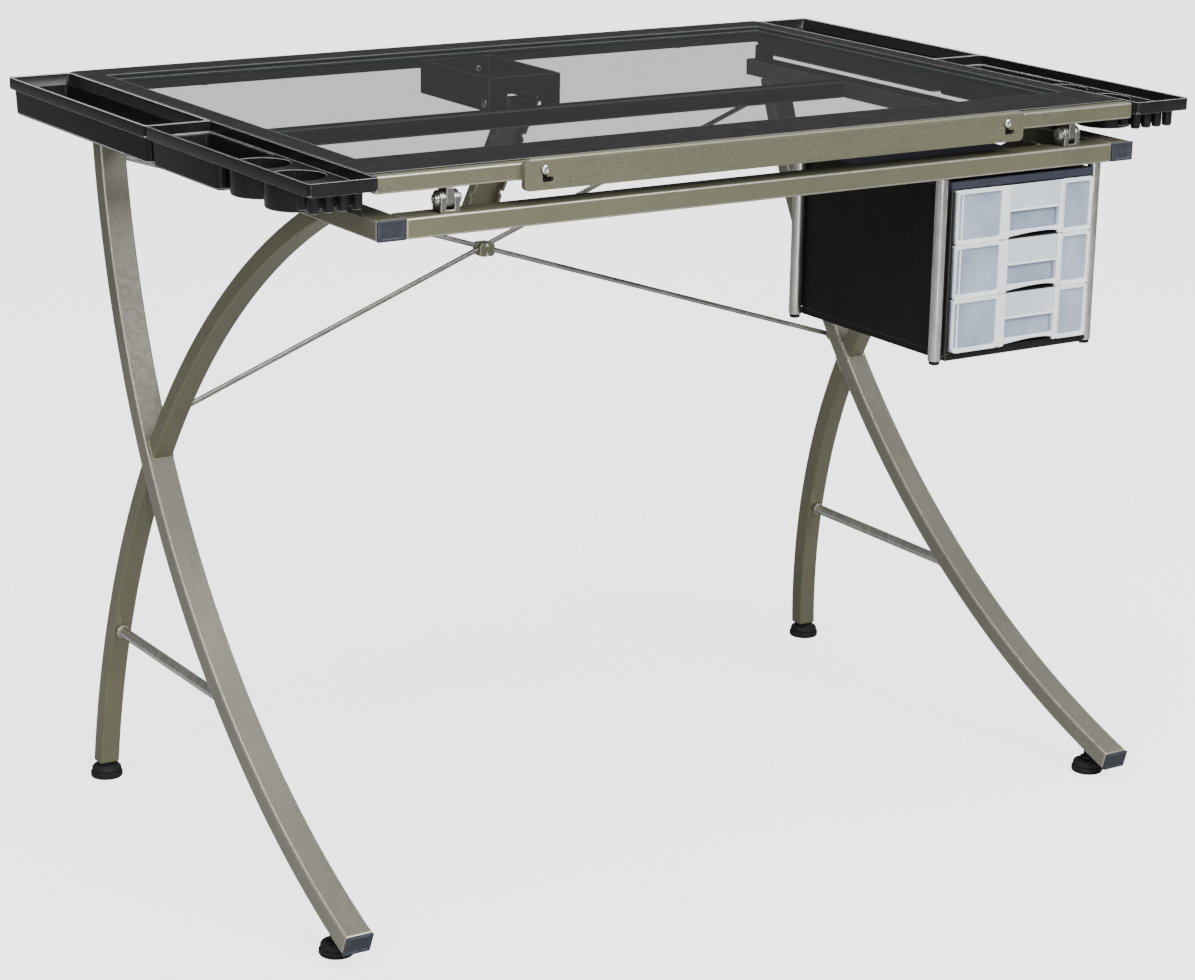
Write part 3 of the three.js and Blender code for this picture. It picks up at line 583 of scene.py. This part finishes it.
def add_braces():
    near = GAP + BRACE_RADIUS + 0.9
    middle = []
    for word, way, off in (("left", -1, near), ("right", 1, near + BRACE_APART)):
        ends = [(way * leg_x(BRACE_LOW_Z), BRACE_LOW_Z), (-way * leg_x(BRACE_HIGH_Z), BRACE_HIGH_Z)]
        low, high = (behind_leg(x, z, off) for x, z in ends)
        form = Form().bar(low, high, BRACE_RADIUS, 20)
        bolts = Form()
        for x, z in ends:
            face, top = Vector(behind_leg(x, z, GAP)), Vector(behind_leg(x, z, off + 1.5))
            out = (top - face).normalized()
            reach = (top - face).length
            eye = [(7.4, 0), (8.0, 0.5), (8.0, reach - 0.6), (7.5, reach)]
            form.turned(eye, face, out, 32)
            bolts.nut(top - out * 0.1, out, 5.0, 3.4)
        piece(f"cross_rod_{word}", form, CROSS_ROD, "base", f"brace_rod_{word}")
        name = f"cross_rod_bolts_{word}"
        piece(name, bolts, BRIGHT, "base", f"brace_rod_{word}", 0.35)
        middle.append((Vector(low) + Vector(high)) / 2)
    centre = (middle[0] + middle[1]) / 2
    y, z = centre.y, centre.z
    half_x, half_y, half_z = CLAMP_HALF
    outline = rounded(-half_x, half_x, z - half_z, z + half_z, 4)
    form = Form().prism("y", outline, y - half_y, y - GAP)
    form.prism("y", outline, y + GAP, y + half_y)
    piece("cross_clamp", form, (PEWTER, PEWTER_HIGHLIGHT), "base", "brace_clamp", 0.9)
    screws = Form()
    for dz in (-5.4, 5.4):
        screws.screw_head((0, y - 8.8, z + dz), (0, -1, 0), 2.0, 0.5)
        screws.bar((0, y - 7, z + dz), (0, y + 7, z + dz), 1.1, 12)
    piece("cross_clamp_screws", screws, BRIGHT, "base", "brace_clamp")


# ---------------------------------------------------------------- front hinges
HINGE_X, HINGE_Y, HINGE_Z = 381.0, 10.0, 755.0
CHEEK_NEAR, CHEEK_FAR = 4.5, 10.5


def lug(radius, end_z, half):
    up = end_z > HINGE_Z
    points = []
    for i in range(29):
        angle = math.radians((180 if up else 0) + 180 * i / 28)
        points.append((HINGE_Y + radius * math.cos(angle), HINGE_Z + radius * math.sin(angle)))
    last = 1 if up else -1
    return points + [(HINGE_Y + last * half, end_z), (HINGE_Y - last * half, end_z)]


def add_hinge(word, side):
    # Both hinge parts take the lighter satin rod steel on their bevelled edges as a painted highlight.
    foot = RAIL_HIGH + GAP
    out, inn = -HINGE_X - CHEEK_FAR, -HINGE_X + CHEEK_FAR
    cheek = lug(9.0, foot, 8.0)
    fork = Form(side).prism("x", cheek, out, -HINGE_X - CHEEK_NEAR)
    fork.prism("x", cheek, -HINGE_X + CHEEK_NEAR, inn)
    fork.box(out, inn, HINGE_Y - 8, HINGE_Y + 8, foot, foot + 2.2)
    piece(f"hinge_yoke_{word}", fork, (STEEL, ROD), "base", f"hinge_fork_{word}", 0.7)
    half = CHEEK_NEAR - GAP
    tab = lug(8.4, FRAME_LOW_Z - GAP, 8.4)
    tongue = Form(side).prism("x", tab, -HINGE_X - half, -HINGE_X + half)
    node = f"hinge_tongue_{word}"
    piece(f"hinge_tab_{word}", tongue, (STEEL, ROD), "top", node, 0.6)
    bolt = Form(side)
    bolt.bar((out - 2.0, HINGE_Y, HINGE_Z), (inn + 4.3, HINGE_Y, HINGE_Z), 3.0, 20)
    bolt.turned([(7.0, 0), (7.0, 1.0)], (out - GAP, HINGE_Y, HINGE_Z), (-1, 0, 0), 36)
    bolt.screw_head((out - 1.2, HINGE_Y, HINGE_Z), (-1, 0, 0), 5.6, 2.8, 32)
    bolt.turned([(7.0, 0), (7.0, 0.9)], (inn + GAP, HINGE_Y, HINGE_Z), (1, 0, 0), 36)
    bolt.nut((inn + 1.1, HINGE_Y, HINGE_Z), (1, 0, 0), 5.4, 3.2)
    node = f"hinge_bolt_{word}"
    piece(f"hinge_screw_{word}", bolt, BRIGHT, "base", node, 0.25)


# ---------------------------------------------------------------- tilting top
TOP_Z, FRAME_LOW_Z = 785.0, 767.0
FRAME_Y, TOP_RAIL_Y = (14.3, 699.5), (0.0, 14.0)
OPEN_X, OPEN_Y = 428.0, (95.0, 650.3)
PANE_LOW_Z, REBATE = 779.0, 8.0
POCKET_RIB = 3.0
FRAME_SCREWS = [(x, 19.5) for x in (-360, -120, 120, 360)]
FRAME_SCREWS += [(-437, 414), (437, 414), (-318, 657), (318, 657)]


def add_pockets(form, count, start, pitch, across, lengthwise, deep):
    """A row of hollows in the underside of the frame, with ribs between them."""
    for i in range(count):
        a0, a1 = start + pitch * i + POCKET_RIB, start + pitch * (i + 1) - POCKET_RIB
        line = rounded(a0, a1, *across, 3, 3) if lengthwise else rounded(*across, a0, a1, 3, 3)
        form.prism("z", line, FRAME_LOW_Z - 1, FRAME_LOW_Z + deep)


def add_frame():
    outer = rounded(-RAIL_OUT, RAIL_OUT, *FRAME_Y, 5.0)
    wide = OPEN_X + REBATE
    rebate = rounded(-wide, wide, OPEN_Y[0] - REBATE, OPEN_Y[1] + REBATE, 1.0)
    hole = rounded(-OPEN_X, OPEN_X, *OPEN_Y, 1.0)
    steps = [(outer, FRAME_LOW_Z), (outer, TOP_Z), (rebate, TOP_Z), (rebate, PANE_LOW_Z)]
    form = Form().rings("z", steps + [(hole, PANE_LOW_Z), (hole, FRAME_LOW_Z)], True)
    pockets = Form()
    add_pockets(pockets, 8, -436, 109, (24, 82), True, 8.5)
    add_pockets(pockets, 8, -424, 106, (662, 693), True, 10)
    for across in ((-457, -440), (440, 457)):
        add_pockets(pockets, 5, 96, 106, across, False, 10)
    looks, slot = (FRAME_BLACK, BLACK_HIGHLIGHT), "black_plastic"
    piece("top_frame_moulding", form, looks, "top", "top_frame", 0.8, 2, pockets)
    lap = REBATE - GAP
    (y0, y1), half = OPEN_Y, OPEN_X + lap
    pane = Form().box(-half, half, y0 - lap, y1 + lap, PANE_LOW_Z + GAP, TOP_Z - GAP)
    piece("glass_sheet", pane, (GLASS, GLASS_EDGE), "top", "glass_pane", 0.8, 2)
    section = square(TOP_RAIL_Y, (FRAME_LOW_Z, TOP_Z - 1))
    rail = Form().prism("x", section, -RAIL_OUT, RAIL_OUT)
    looks, node = (PEWTER, PEWTER_HIGHLIGHT), "top_front_rail"
    piece("front_rail_tube", rail, looks, "top", node, 2.0, 3)
    screws = Form()
    for x, y in FRAME_SCREWS:
        screws.screw_head((x, y, FRAME_LOW_Z), (0, 0, -1), 3.4, 1.6)
    piece("top_frame_screws", screws, BRIGHT, "top", [])
    for word, side in SIDES:
        pad = Form(side).prism("z", rounded(-456, -438, 647, 665, 3), RAIL_HIGH + GAP, 761)
        pad.prism("z", rounded(-454, -440, 649, 663, 3), 760.5, FRAME_LOW_Z - GAP)
        piece(f"rest_block_{word}", pad, RUBBER, "top", f"rest_pad_{word}", 1.0)

LEDGE_HALF, LEDGE_Y, LEDGE_Z = 305.0, (-7.4, -0.3), (757.0, 787.2)
LEDGE_SCREW_X, LEDGE_SCREW_Z = 283.0, 777.0
SLOT_HALF, SLOT_FOOT, SLOT_DROP = 2.7, 10.0, 12.7


def add_ledge():
    spots = (("left", -LEDGE_SCREW_X), ("right", LEDGE_SCREW_X))
    low, high = LEDGE_SCREW_Z - SLOT_DROP, LEDGE_SCREW_Z + SLOT_HALF
    form = Form().prism("y", rounded(-LEDGE_HALF, LEDGE_HALF, *LEDGE_Z, 5.5), *LEDGE_Y)
    lip = [(-6.6, 782.5), (-8.0, 783.4), (-8.3, 784.8), (-8.0, 786.8), (-7.2, 787.8)]
    lip += [(-5.6, 788.0), (-1.6, 788.0), (-0.7, 787.6), (-0.3, 786.8), (-0.3, 782.5)]
    form.prism("x", lip, -300, 300)
    # Painted shade: a dark strip behind each slot, so the slot reads dark as if in shade.
    slots, painted_slot_shade = Form(), Form()
    for _, x in spots:
        foot = rounded(x - SLOT_HALF, x + SLOT_FOOT, low, low + 2 * SLOT_HALF, 2.6)
        slots.prism("y", rounded(x - SLOT_HALF, x + SLOT_HALF, low, high, 2.6), -12, 3)
        slots.prism("y", foot, -12, 3)
        painted_slot_shade.box(x - 3.5, x + 10.8, -0.9, -0.5, low - 0.8, high + 0.8)
    looks, node = (PEWTER, PEWTER_HIGHLIGHT), "pencil_ledge"
    piece("ledge_plate", form, looks, "ledge", node, 0.9, 2, slots)
    piece("ledge_slot_painted_shade", painted_slot_shade, PANEL, "ledge", [])
    for word, x in spots:
        screw = Form().screw_head((x, -8.6, LEDGE_SCREW_Z), (0, -1, 0), 4.6, 2.1, 32)
        screw.bar((x, -9.4, LEDGE_SCREW_Z), (x, -0.2, LEDGE_SCREW_Z), 2.2, 16)
        node = f"ledge_screw_{word}"
        piece(f"ledge_bolt_{word}", screw, BRIGHT, "top", node, 0.15)


# ---------------------------------------------------------------- side trays
TRAY_OUT, TRAY_IN = -535.3, -462.3
TRAY_MID_X = (TRAY_OUT + TRAY_IN) / 2
TRAY_FRONT, TRAY_MIDDLE, TRAY_BACK = -9.0, 342.0, 694.0
TRAY_LOW_Z, RIM_Z = 744.5, 772.0
CUPS_Y, PENCILS_Y = (158.0, 86.0), (9.0, 30.0)
PENCIL_STEP, PENCIL_LOW_Z = 15.0, 753.5


def tray_line(inset, y0, y1, radius):
    return rounded(TRAY_OUT + inset, TRAY_IN - inset, y0 + inset, y1 - inset, radius)


def tray_solid(form, y0, y1):
    """The rim band of one tray."""
    steps = [(tray_line(0.8, y0, y1, 4), RIM_Z), (tray_line(0, y0, y1, 4.5), RIM_Z + 1.4)]
    form.rings("z", steps + [(tray_line(0, y0, y1, 4.5), TOP_Z)])


def tray_body(form, hollow, y0, y1):
    """The box under the rim, a little narrower towards its floor."""
    steps = [(tray_line(7, y0, y1, 5), TRAY_LOW_Z), (tray_line(5.2, y0, y1, 6), TRAY_LOW_Z + 2)]
    form.rings("z", steps + [(tray_line(4, y0, y1, 6), RIM_Z + 1)])
    steps = [(tray_line(8.6, y0, y1, 4), TRAY_LOW_Z + 2.5), (tray_line(6.6, y0, y1, 4), RIM_Z + 0.5)]
    steps += [(tray_line(3.2, y0, y1, 3), TOP_Z - 2.5), (tray_line(3, y0, y1, 2.6), TOP_Z + 2)]
    hollow.rings("z", steps)


def add_trays(word, side):
    # The trays' bevelled edges take the painted highlight.
    looks = (BLACK, TRAY_HIGHLIGHT)
    form, hollow = Form(side), Form(side)
    y0, y1 = TRAY_MIDDLE + GAP / 2, TRAY_BACK
    tray_solid(form, y0, y1)
    tray_body(form, hollow, y0, y1)
    body = f"side_tray_rear_{word}"
    piece(f"tray_back_{word}", form, looks, body, f"tray_rear_{word}", 0.7, 2, hollow)

    form, hollow = Form(side), Form(side)
    y0, y1 = TRAY_FRONT, TRAY_MIDDLE - GAP / 2
    tray_solid(form, y0, y1)
    tray_body(form, hollow, CUPS_Y[0] + 26, y1)
    hollow.prism("z", tray_line(3, y0, y1, 2.5), RIM_Z + 2.5, TOP_Z + 2)
    up = (0, 0, 1)
    for y in CUPS_Y:
        spot = (TRAY_MID_X, y, TRAY_LOW_Z)
        form.turned([(28, 0), (29.8, 0.7), (30.5, 2.4), (31, RIM_Z + 1 - TRAY_LOW_Z)], spot, up, 64)
        hollow.turned([(26, 2.5), (27.4, 3.4), (28.5, RIM_Z + 5 - TRAY_LOW_Z)], spot, up, 64)
    for y in PENCILS_Y:
        for i in range(4):
            spot = (TRAY_MID_X + (i - 1.5) * PENCIL_STEP, y, PENCIL_LOW_Z)
            form.turned([(3.4, 0), (4.8, 0.7), (5.3, 2.2), (5.5, 19)], spot, up, 28)
            hollow.turned([(2.8, 2), (3.8, 3), (4.0, 24)], spot, up, 24)
    body = f"side_tray_front_{word}"
    piece(f"tray_cups_{word}", form, looks, body, f"tray_front_{word}", 0.55, 2, hollow)


# ---------------------------------------------------------------- drawer unit
POST_X, POST_Y, POST_RADIUS = (210.0, 417.0), (5.0, 254.0), 7.0
CASE_X, CASE_Y, CASE_Z = (217.5, 409.5), (-3.0, 252.0), (528.0, 719.0)
CASE_PLATE, CASE_SIDE = 8.0, 4.0
DRAWER_NAMES = ("bottom", "middle", "top")
DRAWER_X = (CASE_X[0] + CASE_SIDE + GAP, CASE_X[1] - CASE_SIDE - GAP)
DRAWER_Y, FACE_BACK_Y = (-8.0, 235.0), -4.6
DRAWER_LOW, DRAWER_HIGH = CASE_Z[0] + CASE_PLATE + GAP, CASE_Z[1] - CASE_PLATE - GAP
DRAWER_PITCH = (DRAWER_HIGH - DRAWER_LOW) / len(DRAWER_NAMES)
# The pull's heights above a drawer's floor, and places across a front from its left edge.
PULL_LOW, PULL_HIGH = 8.6, 29.6
LEFT_WINDOW, LEFT_BAR, MIDDLE = 61.0, (61.2, 71.2), (71.4, 138.6)
RIGHT_BAR, RIGHT_WINDOW = (138.8, 144.0), 144.4
SMALL_CORNER, LARGE_CORNER = 2.2, 7.0
EDGE_RISE, EDGE_PEAK = 3.0, 0.72


def add_case():
    looks, slot = (PANEL, PANEL_HIGHLIGHT), "black_panel"
    (x0, x1), (y0, y1), (z0, z1) = CASE_X, CASE_Y, CASE_Z
    form = Form().box(x0, x1, y0, y1, z0, z0 + CASE_PLATE)
    for y in POST_Y:
        tab = rounded(POST_X[0] - 6, POST_X[1] + 6, y - 6, y + 6, 5)
        form.prism("z", tab, z0 + 1.5, z0 + 6)
    piece("case_bottom", form, looks, "base", "drawer_case_floor", 0.9)
    roof = Form().box(x0, x1, y0, y1, z1 - CASE_PLATE, z1)
    piece("case_top", roof, CASE_CAP, "base", "drawer_case_roof", 0.9)
    for word, a in (("left", x0), ("right", x1 - CASE_SIDE)):
        side = Form().box(a, a + CASE_SIDE, y0, y1 + 1.6, DRAWER_LOW, DRAWER_HIGH)
        piece(f"case_side_{word}", side, looks, "base", f"drawer_case_side_{word}", 0.7)
    back = Form().box(*DRAWER_X, y1 - 4, y1, DRAWER_LOW, DRAWER_HIGH)
    piece("case_back", back, looks, "base", "drawer_case_back", 0.7)
    for row, y, top in (("front", POST_Y[0], UNDER_RAIL), ("rear", POST_Y[1], z1)):
        for word, x in zip(("left", "right"), POST_X):
            post = Form().bar((x, y, z0 + 0.2), (x, y, top), POST_RADIUS, 40)
            node = f"drawer_post_{row}_{word}"
            piece(f"post_{row}_{word}", post, ROD, "base", node)
    feet = Form()
    for x in POST_X:
        for y in POST_Y:
            feet.turned([(4.6, 0), (5.8, 0.8), (6.0, 4.2)], (x, y, z0 - 4), (0, 0, 1), 32)
    piece("post_feet", feet, METAL_BLACK, "base", "drawer_case_floor", 0.3)
    x, y = POST_X[0] - POST_RADIUS, POST_Y[1]
    near, far = y - POST_RADIUS, y + POST_RADIUS
    hanger = Form().box(x, LEG_MID_X, near, far, z1 + GAP, UNDER_RAIL)
    looks = (METAL_BLACK, BLACK_HIGHLIGHT)
    piece("case_hanger", hanger, looks, "base", "drawer_hanger", 0.8)


def window(form, outer, inner):
    front = DRAWER_Y[0]
    steps = [(outer, front), (inner, front + 0.5), (inner, FACE_BACK_Y), (outer, FACE_BACK_Y)]
    form.rings("y", steps, True)


def left_outline(x0, z0, z1, corner):
    """A window outline whose lower left corner, the last of rounded(), has its own radius."""
    points = rounded(x0, x0 + LEFT_WINDOW, z0, z1, SMALL_CORNER)
    count = len(points) // 4
    bend = [math.radians(180 + 90 * i / (count - 1)) for i in range(count)]
    turn = [(x0 + corner * (1 + math.cos(a)), z0 + corner * (1 + math.sin(a))) for a in bend]
    return points[:-count] + turn


def finger_edge(x0, x1, z0):
    """Lower edge of the strip under the pull: it swells to a peak, then falls away."""
    points = []
    for i in range(25):
        t = i / 24
        if t < EDGE_PEAK:
            part = math.sin(math.pi / 2 * t / EDGE_PEAK)
        else:
            part = math.cos(math.pi * 0.4 * (t - EDGE_PEAK) / (1 - EDGE_PEAK))
        points.append((x0 + (x1 - x0) * t, z0 + 2.4 + EDGE_RISE * part))
    return points


def front_rims(z0, z1, corner):
    """Window surrounds, bars and the strips round the pull, standing proud of a front."""
    x0, x1 = DRAWER_X
    front = DRAWER_Y[0]
    low, high = z0 + 4.6, z1 - 4.6
    rims = Form()
    inner = rounded(x0 + 2.6, x0 + 59, low, high, 2.0)
    window(rims, left_outline(x0, z0, z1, corner), inner)
    line = rounded(x0 + 7, x0 + 8.8, z0 + 4, z1 - 4, 0.7, 2)
    rims.prism("y", line, front + 1.2, FACE_BACK_Y)
    for (a, b), radius in ((LEFT_BAR, 2.0), (RIGHT_BAR, 1.6)):
        bar = rounded(x0 + a, x0 + b, z0 + 0.2, z1 - 0.2, radius)
        rims.prism("y", bar, front, FACE_BACK_Y)
    outer = rounded(x0 + RIGHT_WINDOW, x1, z0, z1, SMALL_CORNER)
    window(rims, outer, rounded(x0 + RIGHT_WINDOW + 2, x1 - 2.6, low, high, 2.0))
    a, b = (x0 + x for x in MIDDLE)
    above = rounded(a, b, z0 + PULL_HIGH - 0.2, z0 + PULL_HIGH + 1.8, 0.8, 2)
    rims.prism("y", above, front, -4.0)
    top = z0 + PULL_LOW + 0.2
    rims.prism("y", finger_edge(a, b, z0) + [(b, top), (a, top)], front, FACE_BACK_Y)
    return rims


def add_drawer(index, name):
    x0, x1 = DRAWER_X
    front, back = DRAWER_Y
    z0 = DRAWER_LOW + index * DRAWER_PITCH + GAP / 2
    z1 = z0 + DRAWER_PITCH - GAP

    def add(part, form, look, edge, cutter=None):
        node = f"drawer_{name}"
        piece(f"{node}_{part}", form, look, f"drawer_box_{name}", node, edge, 2, cutter)

    low = rounded(x0 + 2, x1 - 2, -3, back - 2, 4)
    high = rounded(x0 + 0.6, x1 - 0.6, -3.4, back, 4)
    tub = Form().rings("z", [(low, z0 + 0.6), (high, z1 - 2.6)])
    low = rounded(x0 + 4, x1 - 4, -1, back - 4, 3)
    high = rounded(x0 + 2.4, x1 - 2.4, -1.6, back - 1.8, 3)
    add("tub", tub, CLEAR, 0.5, Form().rings("z", [(low, z0 + 2.6), (high, z1 + 3)]))
    outer = rounded(x0, x1, -3.4, back, 4)
    inner = rounded(x0 + 2.6, x1 - 2.6, -1.6, back - 2, 3)
    lip = [(outer, z1 - 2.6), (outer, z1 - 1), (inner, z1 - 1), (inner, z1 - 2.6)]
    add("lip", Form().rings("z", lip, True), RIM, 0.4)
    plate = Form().prism("y", rounded(x0 + 0.6, x1 - 0.6, z0 + 1, z1 - 1, 2), -5.6, -3.4)
    slit = rounded(x0 + 73, x0 + 136.5, z0 + PULL_LOW + 0.2, z0 + PULL_HIGH - 0.2, 1.5)
    add("front", plate, CLEAR, 0.4, Form().prism("y", slit, -9, 0))
    corner = LARGE_CORNER if index == 0 else SMALL_CORNER
    add("rims", front_rims(z0, z1, corner), RIM, 0.45)
    a, b = x0 + MIDDLE[0] + 0.2, x0 + MIDDLE[1] - 0.2
    panel = rounded(a, b, z0 + PULL_HIGH + 1.4, z1 - 0.4, 1.5)
    add("panel", Form().prism("y", panel, front + 0.7, -4.4), FROST, 0.5)
    add("grip", Form().box(a, b - 0.4, -2.9, -1.6, z0 + 6, z0 + 31.5), SMOKE, 0.3)
    # Painted shadow: a dark strip at the foot of the pull, standing for the shade in the gap down to the
    # drawer below.
    shadow = Form().prism("y", rounded(a, b, z0 + 0.2, z0 + 4.6, 0.5, 2), front + 2.4, -4.8)
    add("shadow_gap", shadow, PANEL, 0.2)


# ---------------------------------------------------------------- tilt prop
PIVOT_Y, PIVOT_Z = 504.0, 747.0
BRACKET_HALF, BRACKET_WALL = 47.0, 3.0
BRACKET_Y, BRACKET_Z = (494.0, 650.0), (738.0, 777.0)
PROP_LONG, PROP_HALF, PROP_DEEP, PROP_WALL = 180.0, 21.0, 13.0, 3.0
PROP_ANGLE = math.radians(57.0)
NOTCHES, NOTCH_STEP = 6, 22
NOTCH = ((0, 0), (-1.0, 3.6), (-3, 5), (-6.4, 5), (-8, 3.6), (-8, 0))


def across_pivot(form, reach, radius):
    return form.bar((-reach, PIVOT_Y, PIVOT_Z), (reach, PIVOT_Y, PIVOT_Z), radius, 24)


def add_bracket():
    half, wall, slot = BRACKET_HALF, BRACKET_WALL, PROP_HALF + 1.5
    (y0, y1), (z0, z1) = BRACKET_Y, BRACKET_Z
    middle, roof = y0 + 40, z1 - 20
    form = Form().box(-half, half, y0, y1, z0, z1)
    hollow = Form().box(-half + wall, half - wall, middle, y1 - wall, z0 - 1, z1 + 1)
    hollow.box(-half + wall, half - wall, y0 + wall, middle + 1, z0 - 1, roof)
    hollow.box(-slot, slot, y0 - 1, middle + 1, z0 - 1, roof)
    looks, node = (METAL_BLACK, BLACK_HIGHLIGHT), "prop_bracket"
    piece("prop_box", form, looks, "top", node, 0.9, 2, hollow)
    pin = across_pivot(Form(), half + 1.2, 3.0)
    head = [(4.6, 0), (5.0, 0.4), (4.6, 1.4), (3.0, 1.9)]
    for way in (-1, 1):
        pin.turned(head, (way * half, PIVOT_Y, PIVOT_Z), (way, 0, 0), 28)
    piece("prop_pivot", pin, BRIGHT, "top", "prop_pin")
    screws = Form()
    for x in (-30, 30):
        screws.screw_head((x, y1 - wall, 762), (0, -1, 0), 4.0, 2.0)
    piece("prop_box_screws", screws, BRIGHT, "top", [])


def add_prop():
    along = (math.cos(PROP_ANGLE), -math.sin(PROP_ANGLE))
    across = (math.sin(PROP_ANGLE), math.cos(PROP_ANGLE))
    half = PROP_DEEP / 2

    def turn(points):
        return [
            (PIVOT_Y + along[0] * a + across[0] * b, PIVOT_Z + along[1] * a + across[1] * b)
            for a, b in points
        ]

    round_end = [math.radians(270 - 15 * i) for i in range(13)]
    line = [(half * math.cos(t), half * math.sin(t)) for t in round_end]
    line += [(PROP_LONG - 2, half), (PROP_LONG, half - 2), (PROP_LONG, -half)]
    for i in range(NOTCHES):
        a = PROP_LONG - 14 - i * NOTCH_STEP
        line += [(a + da, db - half) for da, db in NOTCH]
    form = Form()
    inside = PROP_HALF - PROP_WALL
    for low, high in ((-PROP_HALF, -inside), (inside, PROP_HALF)):
        form.prism("x", turn(line), low, high)
    floor = half - PROP_WALL
    web = [(10, floor), (PROP_LONG, floor), (PROP_LONG, half), (10, half)]
    form.prism("x", turn(web), -PROP_HALF + 1, PROP_HALF - 1)
    looks = (PEWTER, PEWTER_HIGHLIGHT)
    piece("prop_channel", form, looks, "prop", "tilt_prop", 0.6)
    sleeve = across_pivot(Form(), PROP_HALF - 2.5, 6.2)
    piece("prop_sleeve", sleeve, METAL_BLACK, "prop", [], 0.4)


# ---------------------------------------------------------------- studio
FLOOR_GLOW, SKY_STRENGTH = 2.6, 0.22


def emitter(name, at, aim, wide, high, watts):
    data = bpy.data.lights.new(name, "AREA")
    data.shape = "RECTANGLE"
    data.size, data.size_y, data.energy = wide, high, watts
    lamp = bpy.data.objects.new(name, data)
    bpy.context.scene.collection.objects.link(lamp)
    lamp.location = at
    lamp.rotation_euler = (Vector(aim) - Vector(at)).to_track_quat("-Z", "Y").to_euler()


def add_studio():
    mesh = bpy.data.meshes.new("floor")
    far = 30.0
    corners = [(-far, -far, 0), (far, -far, 0), (far, far, 0), (-far, far, 0)]
    mesh.from_pydata(corners, [], [(0, 1, 2, 3)])
    floor = bpy.data.objects.new("floor", mesh)
    bpy.context.scene.collection.objects.link(floor)
    paint = Paint("floor", Specular_IOR_Level=0.1, Emission_Color=(1.0, 1.0, 1.0, 1.0))
    paint.colour(paint.ramp(paint.noise(1.4, 3.0), 0.3, 0.7, (0.36,) * 3, (0.40,) * 3))
    paint.rough(paint.spread(paint.noise(40.0, 4.0), 0.3, 0.7, 0.6, 0.8))
    # The floor glows for the camera only, so it stays pale and adds no light.
    sight = paint.tree.nodes.new("ShaderNodeLightPath").outputs["Is Camera Ray"]
    glow = paint.spread(sight, 0.0, 1.0, 0.0, FLOOR_GLOW)
    paint.link(glow, paint.shader.inputs["Emission Strength"])
    mesh.materials.append(paint.material)
    world = bpy.data.worlds.new("studio")
    world.use_nodes = True
    world.node_tree.nodes["Background"].inputs["Color"].default_value = (1.0, 1.0, 1.0, 1.0)
    world.node_tree.nodes["Background"].inputs["Strength"].default_value = SKY_STRENGTH
    bpy.context.scene.world = world
    emitter("key", (0.6, -3.2, 3.2), (0.0, 0.0, 0.4), 3.2, 1.8, 210.0)
    emitter("left", (-3.4, -1.6, 2.6), (0.0, 0.0, 0.4), 0.9, 2.4, 60.0)
    emitter("strip", (-1.5, -3.4, 0.95), (0.0, 0.0, 0.95), 0.14, 1.4, 46.0)
    emitter("top", (-0.2, -0.4, 3.6), (0.0, 0.0, 0.6), 2.4, 2.0, 125.0)


add_base()
for word, side in SIDES:
    add_legs(word, side)
    for where in FEET:
        add_foot(where, word, side)
    add_stretcher(word, side)
    add_hinge(word, side)
    add_trays(word, side)
add_braces()
add_frame()
add_ledge()
add_case()
for index, name in enumerate(DRAWER_NAMES):
    add_drawer(index, name)
add_bracket()
add_prop()
add_studio()
